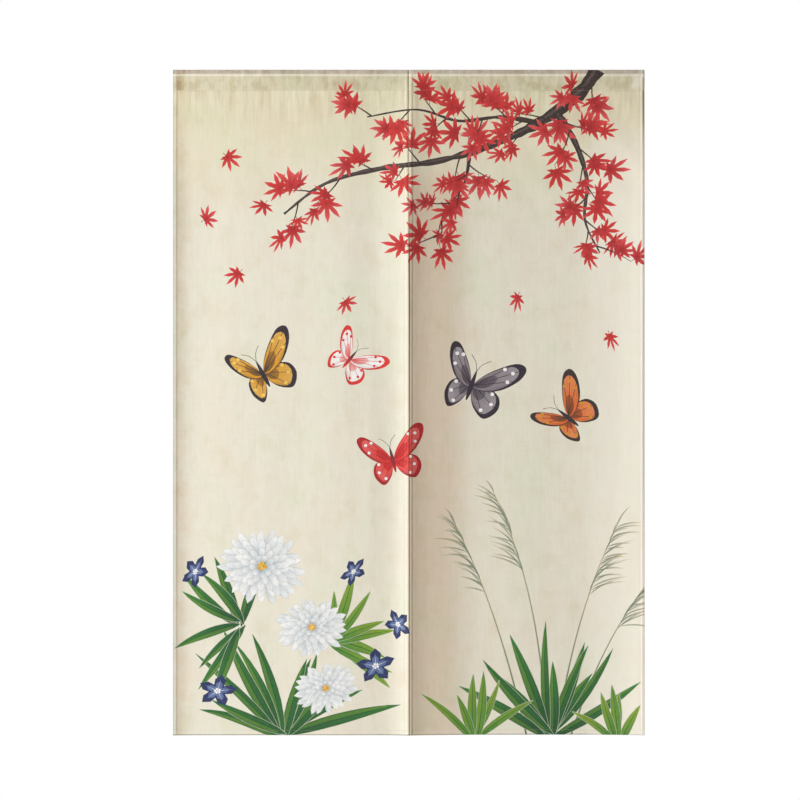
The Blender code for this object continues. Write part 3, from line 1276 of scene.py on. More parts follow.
@dataclass
class PlumeGrass:
    """A tall grass stem with a drooping feathery head."""

    root: Sequence[float]
    tip: Sequence[float]
    bend: float
    fall: Fall
    hairs: int = 30

    def draw(self, brush: Brush) -> None:
        """Draws the stem and its drooping hairs.

        Args:
            brush: What draws it.
        """
        root, tip = np.asarray(self.root), np.asarray(self.tip)
        way = tip - root
        side = np.array((way[1], -way[0]))
        t = np.linspace(0.0, 1.0, 16)
        lean = self.fall.value
        line = root + np.outer(t, way) + np.outer(lean * self.bend * t**2.5, side)
        brush.stroke(line, 0.0034 - 0.0022 * t, (GREY_GREEN, STRAW))
        for i in range(self.hairs):
            share = 0.66 + 0.34 * (i / self.hairs)
            spot = np.array([np.interp(share, t, line[:, k]) for k in (0, 1)])
            heading = math.atan2(way[1], way[0]) - lean * brush.about(0.5, 0.5)
            length = 0.055 * brush.about(0.9, 0.3) * (1.25 - 0.55 * (i / self.hairs))
            inks = (GREY_GREEN, STRAW.towards(WHITE, brush.random.random() * 0.6))
            hair, widths = brush.blade(spot, heading, length, 0.0026, -0.35 * lean, 0.5, 5)
            brush.stroke(hair, widths, inks, cover=0.85)


@dataclass
class AutumnGarden:
    """The whole design: a maple branch above, butterflies, and flowers and grass below."""

    seed: int = 7
    brush: Brush = field(init=False)

    def __post_init__(self) -> None:
        """Makes the brush and draws every motif."""
        self.brush = Brush(self.seed)
        self._branch()
        self._butterflies()
        self._grasses()
        self._flowers()

    def _branch(self) -> None:
        """Draws the branch that hangs from the upper right."""
        main = ((0.34, 0.002), (0.305, -0.045), (0.235, -0.095), (0.150, -0.135), (0.050, -0.165))
        main = main + ((-0.050, -0.178), (-0.150, -0.205), (-0.225, -0.260))
        upper = ((0.235, -0.095), (0.165, -0.085), (0.090, -0.092), (0.015, -0.072), (-0.075, -0.085))
        hanging = ((0.265, -0.075), (0.300, -0.130), (0.322, -0.200), (0.318, -0.270), (0.345, -0.330))
        inner = ((0.110, -0.150), (0.100, -0.205), (0.065, -0.255), (0.050, -0.310))
        limbs = (
            (main, 0.030, 0.0035, 13),
            (upper, 0.010, 0.0022, 8),
            (hanging, 0.015, 0.0025, 9),
            (inner, 0.008, 0.0020, 6),
        )
        MapleBranch(limbs).draw(self.brush)
        falling = ((-0.30, -0.36, 3.9), (-0.12, -0.41, 5.3), (0.20, -0.40, 4.4), (0.36, -0.47, 5.0))
        falling = falling + ((-0.335, -0.150, 5.6), (-0.255, -0.235, 4.1), (-0.375, -0.275, 0.6))
        for across, height, angle in falling:
            MapleBranch(()).leaf_at(self.brush, np.array((across, height)), angle, 0.030)

    def _butterflies(self) -> None:
        """Draws the butterflies in the middle."""
        flights = (
            ((-0.265, -0.545), 0.125, 0.5, GOLD, SOOT, PALE_GOLD, 0.62),
            ((-0.105, -0.520), 0.095, -0.7, WHITE, CORAL, CORAL, 0.75),
            ((0.115, -0.565), 0.135, -0.35, ASH, SOOT, WHITE, 0.7),
            ((0.285, -0.625), 0.115, 0.9, ORANGE, BARK, GOLD, 0.6),
            ((-0.030, -0.700), 0.110, 0.25, CORAL, DEEP_RED, WHITE, 0.8),
        )
        for flight in flights:
            Butterfly(*flight).draw(self.brush)

    def _grasses(self) -> None:
        """Draws the plume grass and the leaves at the foot."""
        stems = (
            ((0.215, -1.21), (0.120, -0.800), 0.10, Fall.LEFT),
            ((0.250, -1.21), (0.225, -0.755), 0.16, Fall.LEFT),
            ((0.265, -1.21), (0.330, -0.810), 0.12, Fall.RIGHT),
            ((0.290, -1.21), (0.395, -0.900), 0.14, Fall.RIGHT),
        )
        for stem in stems:
            PlumeGrass(*stem).draw(self.brush)
        sprays = (
            LeafSpray((0.255, -1.205), 11, 0.215, 0.019, 0.45, 2.65, DEEP_GREEN, LEAF_GREEN),
            LeafSpray((0.120, -1.210), 6, 0.130, 0.016, 0.6, 2.3, LEAF_GREEN, SPRING_GREEN),
            LeafSpray((-0.225, -1.205), 12, 0.235, 0.020, 0.30, 2.85, DEEP_GREEN, LEAF_GREEN),
            LeafSpray((-0.300, -1.000), 9, 0.150, 0.018, 1.2, 4.6, DEEP_GREEN, LEAF_GREEN),
            LeafSpray((-0.140, -1.030), 8, 0.135, 0.018, -0.9, 1.6, LEAF_GREEN, SPRING_GREEN),
            LeafSpray((0.375, -1.210), 5, 0.120, 0.016, 1.0, 2.4, LEAF_GREEN, SPRING_GREEN),
        )
        for spray in sprays:
            spray.draw(self.brush)

    def _flowers(self) -> None:
        """Draws the flower heads over the leaves."""
        bells = (
            ((-0.060, -1.075), 0.034, 0.4, 0.85),
            ((-0.385, -0.905), 0.030, 1.1, 0.7),
            ((-0.020, -1.000), 0.027, 2.0, 0.8),
            ((-0.345, -1.120), 0.034, 0.1, 0.8),
            ((-0.100, -0.905), 0.028, 0.9, 0.65),
        )
        for bell in bells:
            Bellflower(*bell).draw(self.brush)
        heads = (
            ((-0.150, -1.115), 0.062, 0.78, 0.3),
            ((-0.265, -0.895), 0.082, 0.86, -0.2),
            ((-0.175, -1.005), 0.070, 0.80, 0.1),
        )
        for head in heads:
            Chrysanthemum(*head).draw(self.brush)


# The cloth


@dataclass(frozen=True)
class Fold:
    """One line down the cloth: its place across, and how far it stands forward at each level."""

    across: float
    stitch: float
    seam_end: float
    slit: float
    middle: float
    hem: float

    def depths(self) -> tuple[float, ...]:
        """Returns how far the line stands forward, from the stitch line to the hem."""
        return (self.stitch, self.seam_end, self.slit, self.middle, self.hem)


LEFT_FOLDS = (
    Fold(-0.425, 0.0014, 0.0056, 0.0054, 0.0050, 0.0066),
    Fold(-0.405, 0.0004, 0.0018, 0.0018, 0.0015, 0.0026),
    Fold(-0.380, 0.0000, 0.0003, 0.0002, 0.0003, 0.0008),
    Fold(-0.320, -0.0003, -0.0002, -0.0001, 0.0006, 0.0002),
    Fold(-0.220, -0.0006, -0.0004, -0.0001, 0.0004, -0.0005),
    Fold(-0.120, -0.0004, 0.0004, 0.0009, 0.0020, 0.0009),
    Fold(-0.062, -0.0006, -0.0009, -0.0007, 0.0007, -0.0002),
    Fold(-0.036, 0.0005, 0.0014, 0.0017, 0.0011, 0.0006),
    Fold(-0.016, 0.0020, 0.0049, 0.0054, 0.0044, 0.0045),
    Fold(0.000, 0.0038, 0.0092, 0.0101, 0.0091, 0.0098),
)

RIGHT_FOLDS = (
    Fold(0.000, 0.0038, 0.0092, 0.0085, 0.0081, 0.0089),
    Fold(0.025, 0.0010, 0.0024, 0.0017, 0.0013, 0.0021),
    Fold(0.050, -0.0010, -0.0024, -0.0027, -0.0030, -0.0020),
    Fold(0.110, -0.0028, -0.0088, -0.0089, -0.0094, -0.0080),
    Fold(0.190, -0.0034, -0.0110, -0.0110, -0.0112, -0.0103),
    Fold(0.300, -0.0029, -0.0104, -0.0105, -0.0109, -0.0112),
    Fold(0.370, -0.0010, -0.0056, -0.0058, -0.0062, -0.0070),
    Fold(0.405, 0.0006, -0.0001, -0.0002, -0.0006, -0.0010),
    Fold(0.425, 0.0020, 0.0042, 0.0040, 0.0035, 0.0040),
)


@dataclass
class HungSection:
    """The cloth's line seen from its side, from the foot's hem up and over the rod pocket."""

    front: float = -0.0015
    cloth: float = 0.0005
    turn: float = 0.0009
    hem: float = 0.010
    half_pocket: float = 0.0070
    crease: float = -0.0076
    half_top: float = 0.0026
    tail: float = 0.004
    arc_spans: int = 6
    flap_layers: float = 2.15
    back_layers: float = 2.10
    corner_layers: float = 2.2
    flap_turn: float = 0.92
    head_radii: Sequence[float] = (0.0020, 0.0012, 0.0016, 0.0016, 0.0018, 0.0020)
    shortest: float = 2e-5
    line: Points = field(init=False)

    def __post_init__(self) -> None:
        """Draws the line, and measures the flat height of each of its points."""
        flap = self.front + self.flap_layers * self.cloth
        back = self.front + self.back_layers * self.cloth
        corners = (
            (flap, FOOT + self.hem),
            (self.front + 2.0 * self.turn, FOOT),
            (self.front, FOOT),
            (self.front, STITCH_LINE),
            (-self.half_pocket, self.crease),
            (-self.half_top, 0.0),
            (self.half_top, 0.0),
            (self.half_pocket, self.crease),
            (back, STITCH_LINE),
            (back, STITCH_LINE - self.tail),
        )
        # The flap leans, so its corner is tighter, and the two corners' arcs don't overlap
        radii = (self.turn * self.flap_turn, self.turn, *self.head_radii)
        rows = rounded(corners, radii, self.arc_spans)
        runs = np.hypot(*np.diff(rows[:, :2], axis=0).T)
        kept = np.concatenate(((True,), runs > self.shortest))
        walked = np.concatenate(((0.0,), np.cumsum(runs)))
        start = int(np.argmin(np.hypot(rows[:, 0] - self.front, rows[:, 1] - FOOT - self.turn)))
        heights = walked - walked[start] + FOOT + self.turn
        self.line = np.column_stack((heights, rows))[kept]

    def height_at(self, depth: float, height: float) -> float:
        """Returns the flat height of the line's point that lies nearest to a place."""
        away = np.hypot(self.line[:, 1] - depth, self.line[:, 2] - height)
        return float(self.line[int(np.argmin(away)), 0])

    def at(self, heights: Points) -> tuple[Points, Points]:
        """Returns the (y, z) places and outward normals at flat heights."""
        columns = [np.interp(heights, self.line[:, 0], self.line[:, k]) for k in (1, 2, 3, 4)]
        return np.column_stack(columns[:2]), np.column_stack((-columns[3], columns[2]))


@dataclass
class Relief:
    """The cloth's small unevenness: puffed hems, stitched grooves, puckers and ripples."""

    side_stitch: float = 0.0076
    foot_stitch: float = 0.0088
    foot_bead: float = 0.00035
    groove: float = 0.00018
    groove_width: float = 0.0012
    pucker: float = 0.00014
    pucker_reach: float = 0.0080
    seam_dip: float = 0.0010
    seam_width: float = 0.0018
    ripple: float = 0.00040
    bead_lean: float = 1.4
    pocket_share: float = 1.5

    @staticmethod
    def wander(run: Points, shift: float) -> Points:
        """Makes uneven waves of one or two centimetres.

        Args:
            run: How far along each place lies.
            shift: A number that makes them unlike others.

        Returns:
            Waves of about 1.
        """
        waves = 0.5 * np.sin(run * 262.0 + shift) + 0.3 * np.sin(run * 381.0 + 2.3 * shift)
        waves = waves + 0.3 * np.sin(run * 465.0 + 4.1 * shift)
        return waves * (0.7 + 0.4 * np.sin(run * 23.0 + shift))

    def _stitched(self, away: Points, run: Points, shift: float, reach: float) -> Points:
        """Works out a row of stitches' groove and puckers.

        Args:
            away: How far each place lies from the row.
            run: How far along the row it lies.
            shift: A number that makes the row unlike the others.
            reach: How far the puckers spread.

        Returns:
            How far the cloth stands forward.
        """
        pinch = -self.groove * np.exp(-((away / self.groove_width) ** 2))
        return pinch + self.pucker * np.exp(-np.abs(away) / reach) * self.wander(run, shift)

    @staticmethod
    def _sway(across: Points, height: Points) -> Points:
        """Works out slow waves over the whole cloth, with slanting ones at its upper right.

        Args:
            across: World places across.
            height: World heights.

        Returns:
            Waves of about 1.
        """
        sway = 0.5 * np.sin(across * 30.0 + 0.8 * np.sin(height * 7.0) + height * 4.8)
        sway = sway + 0.3 * np.sin(across * 67.0 - height * 7.0 + 1.0)
        sway = sway + 0.2 * np.sin(height * 24.0 + across * 12.0)
        slant = np.sin(across * 92.0 + height * 66.0) * eased((across - 0.10) / 0.15)
        return sway + 0.8 * slant * eased((height + 0.36) / 0.22)

    def forward(
        self, across: Points, height: Points, edges: Sequence[float], beads: Sequence[float]
    ) -> Points:
        """Works out the relief of a panel.

        Args:
            across: World places across.
            height: World heights.
            edges: The panel's left and right edges.
            beads: How far the hems there puff forward.

        Returns:
            How far the cloth stands forward of its folds.
        """
        low, high = edges
        inset = np.minimum(across - low, high - across)
        nearer_left = across - low < high - across
        bead = np.where(nearer_left, *beads)
        shift = np.where(nearer_left, 1.3, 2.9) + 5.0 * low
        rise = height - FOOT
        hung = eased((-0.004 - height) / 0.012)
        into_hem = np.clip(inset / self.side_stitch, 0.0, 1.0) ** self.bead_lean
        amount = bead * np.sin(math.pi * into_hem) * hung
        foot_bead = np.sin(math.pi * np.clip(rise / self.foot_stitch, 0.0, 1.0))
        amount = amount + self.foot_bead * foot_bead
        reach = self.pucker_reach
        amount = amount + self._stitched(inset - self.side_stitch, height, shift, reach) * hung
        amount = amount + self._stitched(rise - self.foot_stitch, across, 7.7, reach)
        stitches = self._stitched(height - STITCH_LINE, across, 0.6, 2.0 * reach)
        amount = amount + stitches * self.pocket_share * eased(-height / 0.020)
        joined = eased((height - SEAM_END + 0.004) / 0.008)
        amount = amount - self.seam_dip * joined * np.exp(-((across / self.seam_width) ** 2))
        return amount + self.ripple * self._sway(across, height) * eased(-height / 0.060)


@dataclass
class Lines:
    """Mesh lines one way over the flat cloth, with a plain stretch in their middle.

    Every second line of a plain stretch has no crossings with the other way's plain stretch.
    """

    places: list[float]
    plain: list[bool]
    between: list[bool]

    @classmethod
    def through(cls, knots: Sequence[float], steps: Sequence[Optional[float]], wide: float) -> "Lines":
        """Draws lines through knots.

        Args:
            knots: Places that have a line, in order.
            steps: The widest step between each pair of them, or None for the plain stretch.
            wide: The plain stretch's step.

        Returns:
            The lines.
        """
        lines = cls([float(knots[0])], [False], [False])
        for low, high, step in zip(knots, knots[1:], steps):
            plain = step is None
            pairs = math.ceil((high - low) / wide)
            count = 2 * pairs if plain else math.ceil((high - low) / step - HAIR)
            for k in range(1, max(count, 1) + 1):
                inner = plain and k < count
                lines.places.append(float(low + (high - low) * k / max(count, 1)))
                lines.plain.append(inner)
                lines.between.append(inner and k % 2 == 1)
        return lines


@dataclass
class Panel:
    """One panel of the noren: a sheet with turned hems and a rod pocket."""

    name: str
    left: float
    right: float
    lap: float
    folds: Sequence[Fold]
    section: HungSection
    relief: Relief
    nodes: Sequence[str]
    beads: Sequence[float]
    side_hem: float = 0.009
    wide_step: float = 0.0122
    fine_step: float = 0.0015
    fine_band: float = 0.0130
    flap_step: float = 0.0045
    wall_step: float = 0.0030
    normal_step: float = 0.0001
    cut_gap: float = 1e-5
    press_run: float = 0.005
    corner_run: float = 0.004
    over_run: float = 0.010

    def forward(self, across: Points, height: Points) -> Points:
        """Works out the folds.

        Args:
            across: World places across.
            height: World heights.

        Returns:
            How far the front stands forward of the pocket's foot.
        """
        places = np.array([fold.across for fold in self.folds])
        table = np.array([fold.depths() for fold in self.folds])
        slopes = np.empty_like(table)
        spans = np.diff(places)
        slopes[1:-1] = (table[2:] - table[:-2]) / (places[2:] - places[:-2])[:, None]
        slopes[0] = (table[1] - table[0]) / spans[0]
        slopes[-1] = (table[-1] - table[-2]) / spans[-1]
        i = np.clip(np.searchsorted(places, across) - 1, 0, len(places) - 2)
        t = np.clip((across - places[i]) / spans[i], 0.0, 1.0)[:, None]
        span = spans[i][:, None]
        rows = (1.0 + 2.0 * t) * (1.0 - t) ** 2 * table[i] + t * t * (3.0 - 2.0 * t) * table[i + 1]
        rows = rows + t * (1.0 - t) ** 2 * span * slopes[i]
        rows = rows + t * t * (t - 1.0) * span * slopes[i + 1]
        depth = rows[:, 0]
        for k in range(len(LEVELS) - 1):
            share = eased((LEVELS[k] - height) / (LEVELS[k] - LEVELS[k + 1]))
            depth = depth + (rows[:, k + 1] - rows[:, k]) * share
        crease = self.section.crease
        return depth * eased((crease - height) / (crease - STITCH_LINE))

    def hang(self, flat: Points) -> Points:
        """Hangs flat cloth.

        Args:
            flat: Places across and heights, one row each.

        Returns:
            World places, one row each.
        """
        across, height = flat[:, 0], flat[:, 1]
        turn, cloth = self.section.turn, self.section.cloth
        starts = (self.left + turn, self.right - turn)
        past_left = starts[0] - across
        past_right = across - starts[1]
        past = np.maximum(past_left, past_right)
        angle = np.clip(past / turn, 0.0, math.pi)
        beyond = np.maximum(past - math.pi * turn, 0.0)
        out = turn * np.sin(angle) - beyond
        turned_back = np.where(past_left > 0.0, starts[0] - out, starts[1] + out)
        x = np.where(past <= 0.0, across, turned_back)
        behind = turn * (1.0 - np.cos(angle))
        flap_gap = 2.0 * turn - self.section.flap_layers * cloth
        behind = behind - flap_gap * eased(beyond / self.press_run)
        places, normals = self.section.at(height)
        to_edge = np.minimum(x - self.left, self.right - x)
        doubled = 1.0 - eased((to_edge - self.side_hem) / self.corner_run)
        folded_up = eased((FOOT + turn - height) / (math.pi * turn))
        over_back = eased((height - self.ridge) / self.over_run)
        extra = (folded_up + over_back) * doubled * self.section.corner_layers * cloth
        drawn = self.relief.forward(x, places[:, 1], (self.left, self.right), self.beads)
        sag = self.forward(x, places[:, 1]) + drawn
        share = eased((LAP_START - places[:, 1]) / (LAP_START - LAP_END))
        x = x + self.lap * share * (1.0 - np.abs(x) / EDGE)
        y = places[:, 0] - normals[:, 0] * behind - sag + extra
        z = places[:, 1] - normals[:, 1] * behind
        return np.column_stack((x, y, z))

    def normals(self, flat: Points) -> Points:
        """Works out which way the hung cloth faces.

        Args:
            flat: Places across and heights, one row each.

        Returns:
            The outward way at each place.
        """
        steps = ((self.normal_step, 0.0), (0.0, self.normal_step))
        sides = [self.hang(flat + step) - self.hang(flat - step) for step in np.array(steps)]
        out = np.cross(*sides)
        return out / np.linalg.norm(out, axis=1)[:, None]

    @property
    def ridge(self) -> float:
        """Returns the flat height of the middle of the cloth's top."""
        return self.section.height_at(self.section.half_top, 0.0)

    def _lines(self) -> tuple[Lines, Lines]:
        """Spaces the mesh's lines, closer at the hems and folds.

        Returns:
            The lines across and the lines up the flat cloth.
        """
        turn = self.section.turn
        arc = math.pi * turn
        reach = self.side_hem - turn
        step = arc / self.section.arc_spans
        low, high = self.left + turn, self.right - turn
        stitch, band, fine = self.relief.side_stitch, self.fine_band, self.fine_step
        knots = (low - arc - reach, low - arc, low, self.left + stitch, self.left + band)
        knots += (self.right - band, self.right - stitch, high, high + arc, high + arc + reach)
        steps = (self.flap_step, step, fine, fine, None, fine, fine, step, self.flap_step)
        across = Lines.through(knots, steps, self.wide_step)
        heights = self.section.line[:, 0]
        foot = heights[heights < FOOT + turn + TINY]
        head = heights[heights > STITCH_LINE - 0.002]
        knots = (*foot, FOOT + self.relief.foot_stitch, FOOT + band, head[0] - band, *head)
        steps = [self.flap_step] * (len(foot) - 1) + [fine, fine, None, fine]
        steps = steps + [self.wall_step] * (len(head) - 1)
        return across, Lines.through(knots, steps, self.wide_step)

    def _number(self, across: Lines, up: Lines) -> tuple[Points, list, Sequence[int]]:
        """Numbers the places where the mesh's lines cross.

        Args:
            across: The lines across.
            up: The lines up.

        Returns:
            Each crossing's number, or -1 where there is none, their places, and the lines
            that the foot's flap ends at: its first and last across, and its last up.
        """
        turn = self.section.turn
        half_arc = math.pi * turn / 2.0
        xs, heights = np.array(across.places), np.array(up.places)
        first = int(np.searchsorted(xs, self.left + turn - half_arc - TINY))
        last = int(np.searchsorted(xs, self.right - turn + half_arc + TINY)) - 1
        foot = int(np.searchsorted(heights, FOOT + turn - TINY))
        index = -np.ones((len(xs), len(heights)), dtype=int)
        points = []
        for i, x in enumerate(across.places):
            for j, height in enumerate(up.places):
                whole = j >= foot or first <= i <= last
                sparse = (across.between[i] and up.plain[j]) or (up.between[j] and across.plain[i])
                if whole and not sparse:
                    index[i, j] = len(points)
                    points.append((x, height))
        return index, points, (first, last, foot)

    @staticmethod
    def _ring(index: Points, flap: Sequence[int]) -> list[int]:
        """Walks round the cloth's edge.

        Args:
            index: Each crossing's number.
            flap: The lines that the foot's flap ends at.

        Returns:
            The numbers of the crossings along it.
        """
        first, last, foot = flap
        end_i, end_j = index.shape[0] - 1, index.shape[1] - 1
        ring = [index[i, 0] for i in range(first, last)]
        ring += [index[last, j] for j in range(foot)]
        ring += [index[i, foot] for i in range(last, end_i)]
        ring += [index[end_i, j] for j in range(foot, end_j)]
        ring += [index[i, end_j] for i in range(end_i, 0, -1)]
        ring += [index[0, j] for j in range(end_j, foot, -1)]
        ring += [index[i, foot] for i in range(first)]
        ring += [index[first, j] for j in range(foot, 0, -1)]
        return [int(number) for number in ring]

    def _layout(self, marks: Sequence[Mark]) -> tuple[Points, Points]:
        """Cuts the flat cloth into triangles, along the lines of its hems and the marks on it.

        Args:
            marks: The printed marks.

        Returns:
            The flat places and the triangles.
        """
        across, up = self._lines()
        index, points, flap = self._number(across, up)
        edges = []
        for i in np.flatnonzero(~np.array(across.plain)):
            edges += zip(index[i, :-1], index[i, 1:])
        for j in np.flatnonzero(~np.array(up.plain)):
            edges += zip(index[:-1, j], index[1:, j])
        edges = [(int(a), int(b)) for a, b in edges if a >= 0 and b >= 0]
        for mark in marks:
            ends = mark.outline[:, 0]
            if ends.max() < across.places[0] or ends.min() > across.places[-1]:
                continue
            corners = list(range(len(points), len(points) + len(mark.outline)))
            points += [tuple(map(float, corner)) for corner in mark.outline]
            edges += list(zip(corners, corners[1:] + corners[:1]))
        places = [Vector(p) for p in points]
        cut = delaunay_2d_cdt(places, edges, [self._ring(index, flap)], 1, self.cut_gap)
        flat = np.array([tuple(v) for v in cut[0]])
        triangles = [corners for corners, sources in zip(cut[2], cut[5]) if 0 in sources]
        used, triangles = np.unique(np.array(triangles), return_inverse=True)
        return flat[used], triangles.reshape(-1, 3)

    def _attributes(self, mesh: bpy.types.Mesh, flat: Points, triangles: Points, marks: list) -> None:
        """Writes the flat coordinates and the inks on the mesh.

        Args:
            mesh: The panel's mesh.
            flat: The flat place of each vertex.
            triangles: The mesh's triangles.
            marks: The printed marks, later ones over earlier ones.
        """
        places = flat[triangles.ravel()]
        mesh.uv_layers.new(name="cloth").data.foreach_set("uv", places.astype(np.float32).ravel())
        centres = flat[triangles].mean(axis=1)
        x, y = np.ascontiguousarray(centres.T)
        inks = np.zeros((len(places), 4))
        strokes = np.zeros((len(places), 3))
        for number, mark in enumerate(marks):
            low, high = mark.outline.min(axis=0), mark.outline.max(axis=0)
            near = np.flatnonzero((x > low[0]) & (x < high[0]) & (y > low[1]) & (y < high[1]))
            covered = near[within(centres[near], mark.outline)]
            if not len(covered):
                continue
            group = (covered[:, None] * 3 + np.arange(3)).ravel()
            laid = mark.inks(places[group])
            share = laid[:, 3:]
            under = inks[group, 3:] * (1.0 - share)
            total = share + under
            inks[group, :3] = (laid[:, :3] * share + inks[group, :3] * under) / total
            inks[group, 3:] = total
            along, across = mark.local(places[group])
            length = float(np.hypot(*(mark.tip - mark.root)))
            strokes[group] = np.column_stack((along * length, across, np.full(len(group), number)))
        layer = mesh.color_attributes.new("ink", "FLOAT_COLOR", "CORNER")
        layer.data.foreach_set("color", inks.astype(np.float32).ravel())
        layer = mesh.attributes.new("stroke", "FLOAT_VECTOR", "CORNER")
        layer.data.foreach_set("vector", strokes.astype(np.float32).ravel())

    def build(self, marks: list, finishes: Sequence[bpy.types.Material]) -> bpy.types.Object:
        """Makes the panel.

        Args:
            marks: The printed marks.
            finishes: The cloth's printed side and its back.

        Returns:
            The panel's object, its wall applied.
        """
        flat, triangles = self._layout(marks)
        mesh = bpy.data.meshes.new(self.name)
        front, normals = self.hang(flat), self.normals(flat)
        mesh.from_pydata(front.tolist(), [], triangles.tolist())
        self._attributes(mesh, flat, triangles, marks)
        for finish in finishes:
            mesh.materials.append(finish)
        mesh.shade_smooth()
        panel = bpy.data.objects.new(self.name, mesh)
        bpy.context.scene.collection.objects.link(panel)
        wall = panel.modifiers.new("wall", "SOLIDIFY")
        wall.thickness = self.section.cloth
        wall.offset = -1.0
        wall.material_offset = 1
        apply_modifiers(panel)
        places = np.concatenate((front, front - normals * self.section.cloth))
        mesh.vertices.foreach_set("co", places.astype(np.float32).ravel())
        mesh.normals_split_custom_set_from_vertices(np.concatenate((normals, -normals)).tolist())
        return panel

    def dress(self, panel: bpy.types.Object) -> None:
        """Ties the panel to the frame.

        Args:
            panel: The panel's object.
        """
        across, up = self._lines()
        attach(panel, "root")
        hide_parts(*self.nodes)


def deselect_all() -> None:
    """Leaves nothing selected."""
    for thing in bpy.context.view_layer.objects:
        thing.select_set(False)


def apply_modifiers(thing: bpy.types.Object) -> None:
    """Applies all of a piece's modifiers.

    Args:
        thing: The piece.
    """
    deselect_all()
    thing.select_set(True)
    bpy.context.view_layer.objects.active = thing
    for modifier in list(thing.modifiers):
        bpy.ops.object.modifier_apply(modifier=modifier.name)
    thing.select_set(False)


@dataclass
class Stitch:
    """One stitch of thread, modelled once and copied."""

    length: float = 0.0024
    thick: float = 0.00034

    def model(self) -> tuple[Points, list]:
        """Models a stitch that lies along X.

        Returns:
            Its points and its faces.
        """
        deselect_all()
        bpy.ops.mesh.primitive_uv_sphere_add(segments=6, ring_count=4, radius=self.thick / 2.0)
        bead = bpy.context.object
        bpy.ops.object.mode_set(mode="EDIT")
        bpy.ops.mesh.select_all(action="SELECT")
        bpy.ops.transform.rotate(
            value=math.pi / 2.0, orient_axis="Y", center_override=(0.0, 0.0, 0.0)
        )
        bpy.ops.object.mode_set(mode="OBJECT")
        points = np.array([tuple(v.co) for v in bead.data.vertices])
        faces = [list(p.vertices) for p in bead.data.polygons]
        bpy.data.objects.remove(bead, do_unlink=True)
        reach = (self.length - self.thick) / 2.0
        points[:, 0] += reach * np.sign(np.round(points[:, 0], 6))
        return points, faces


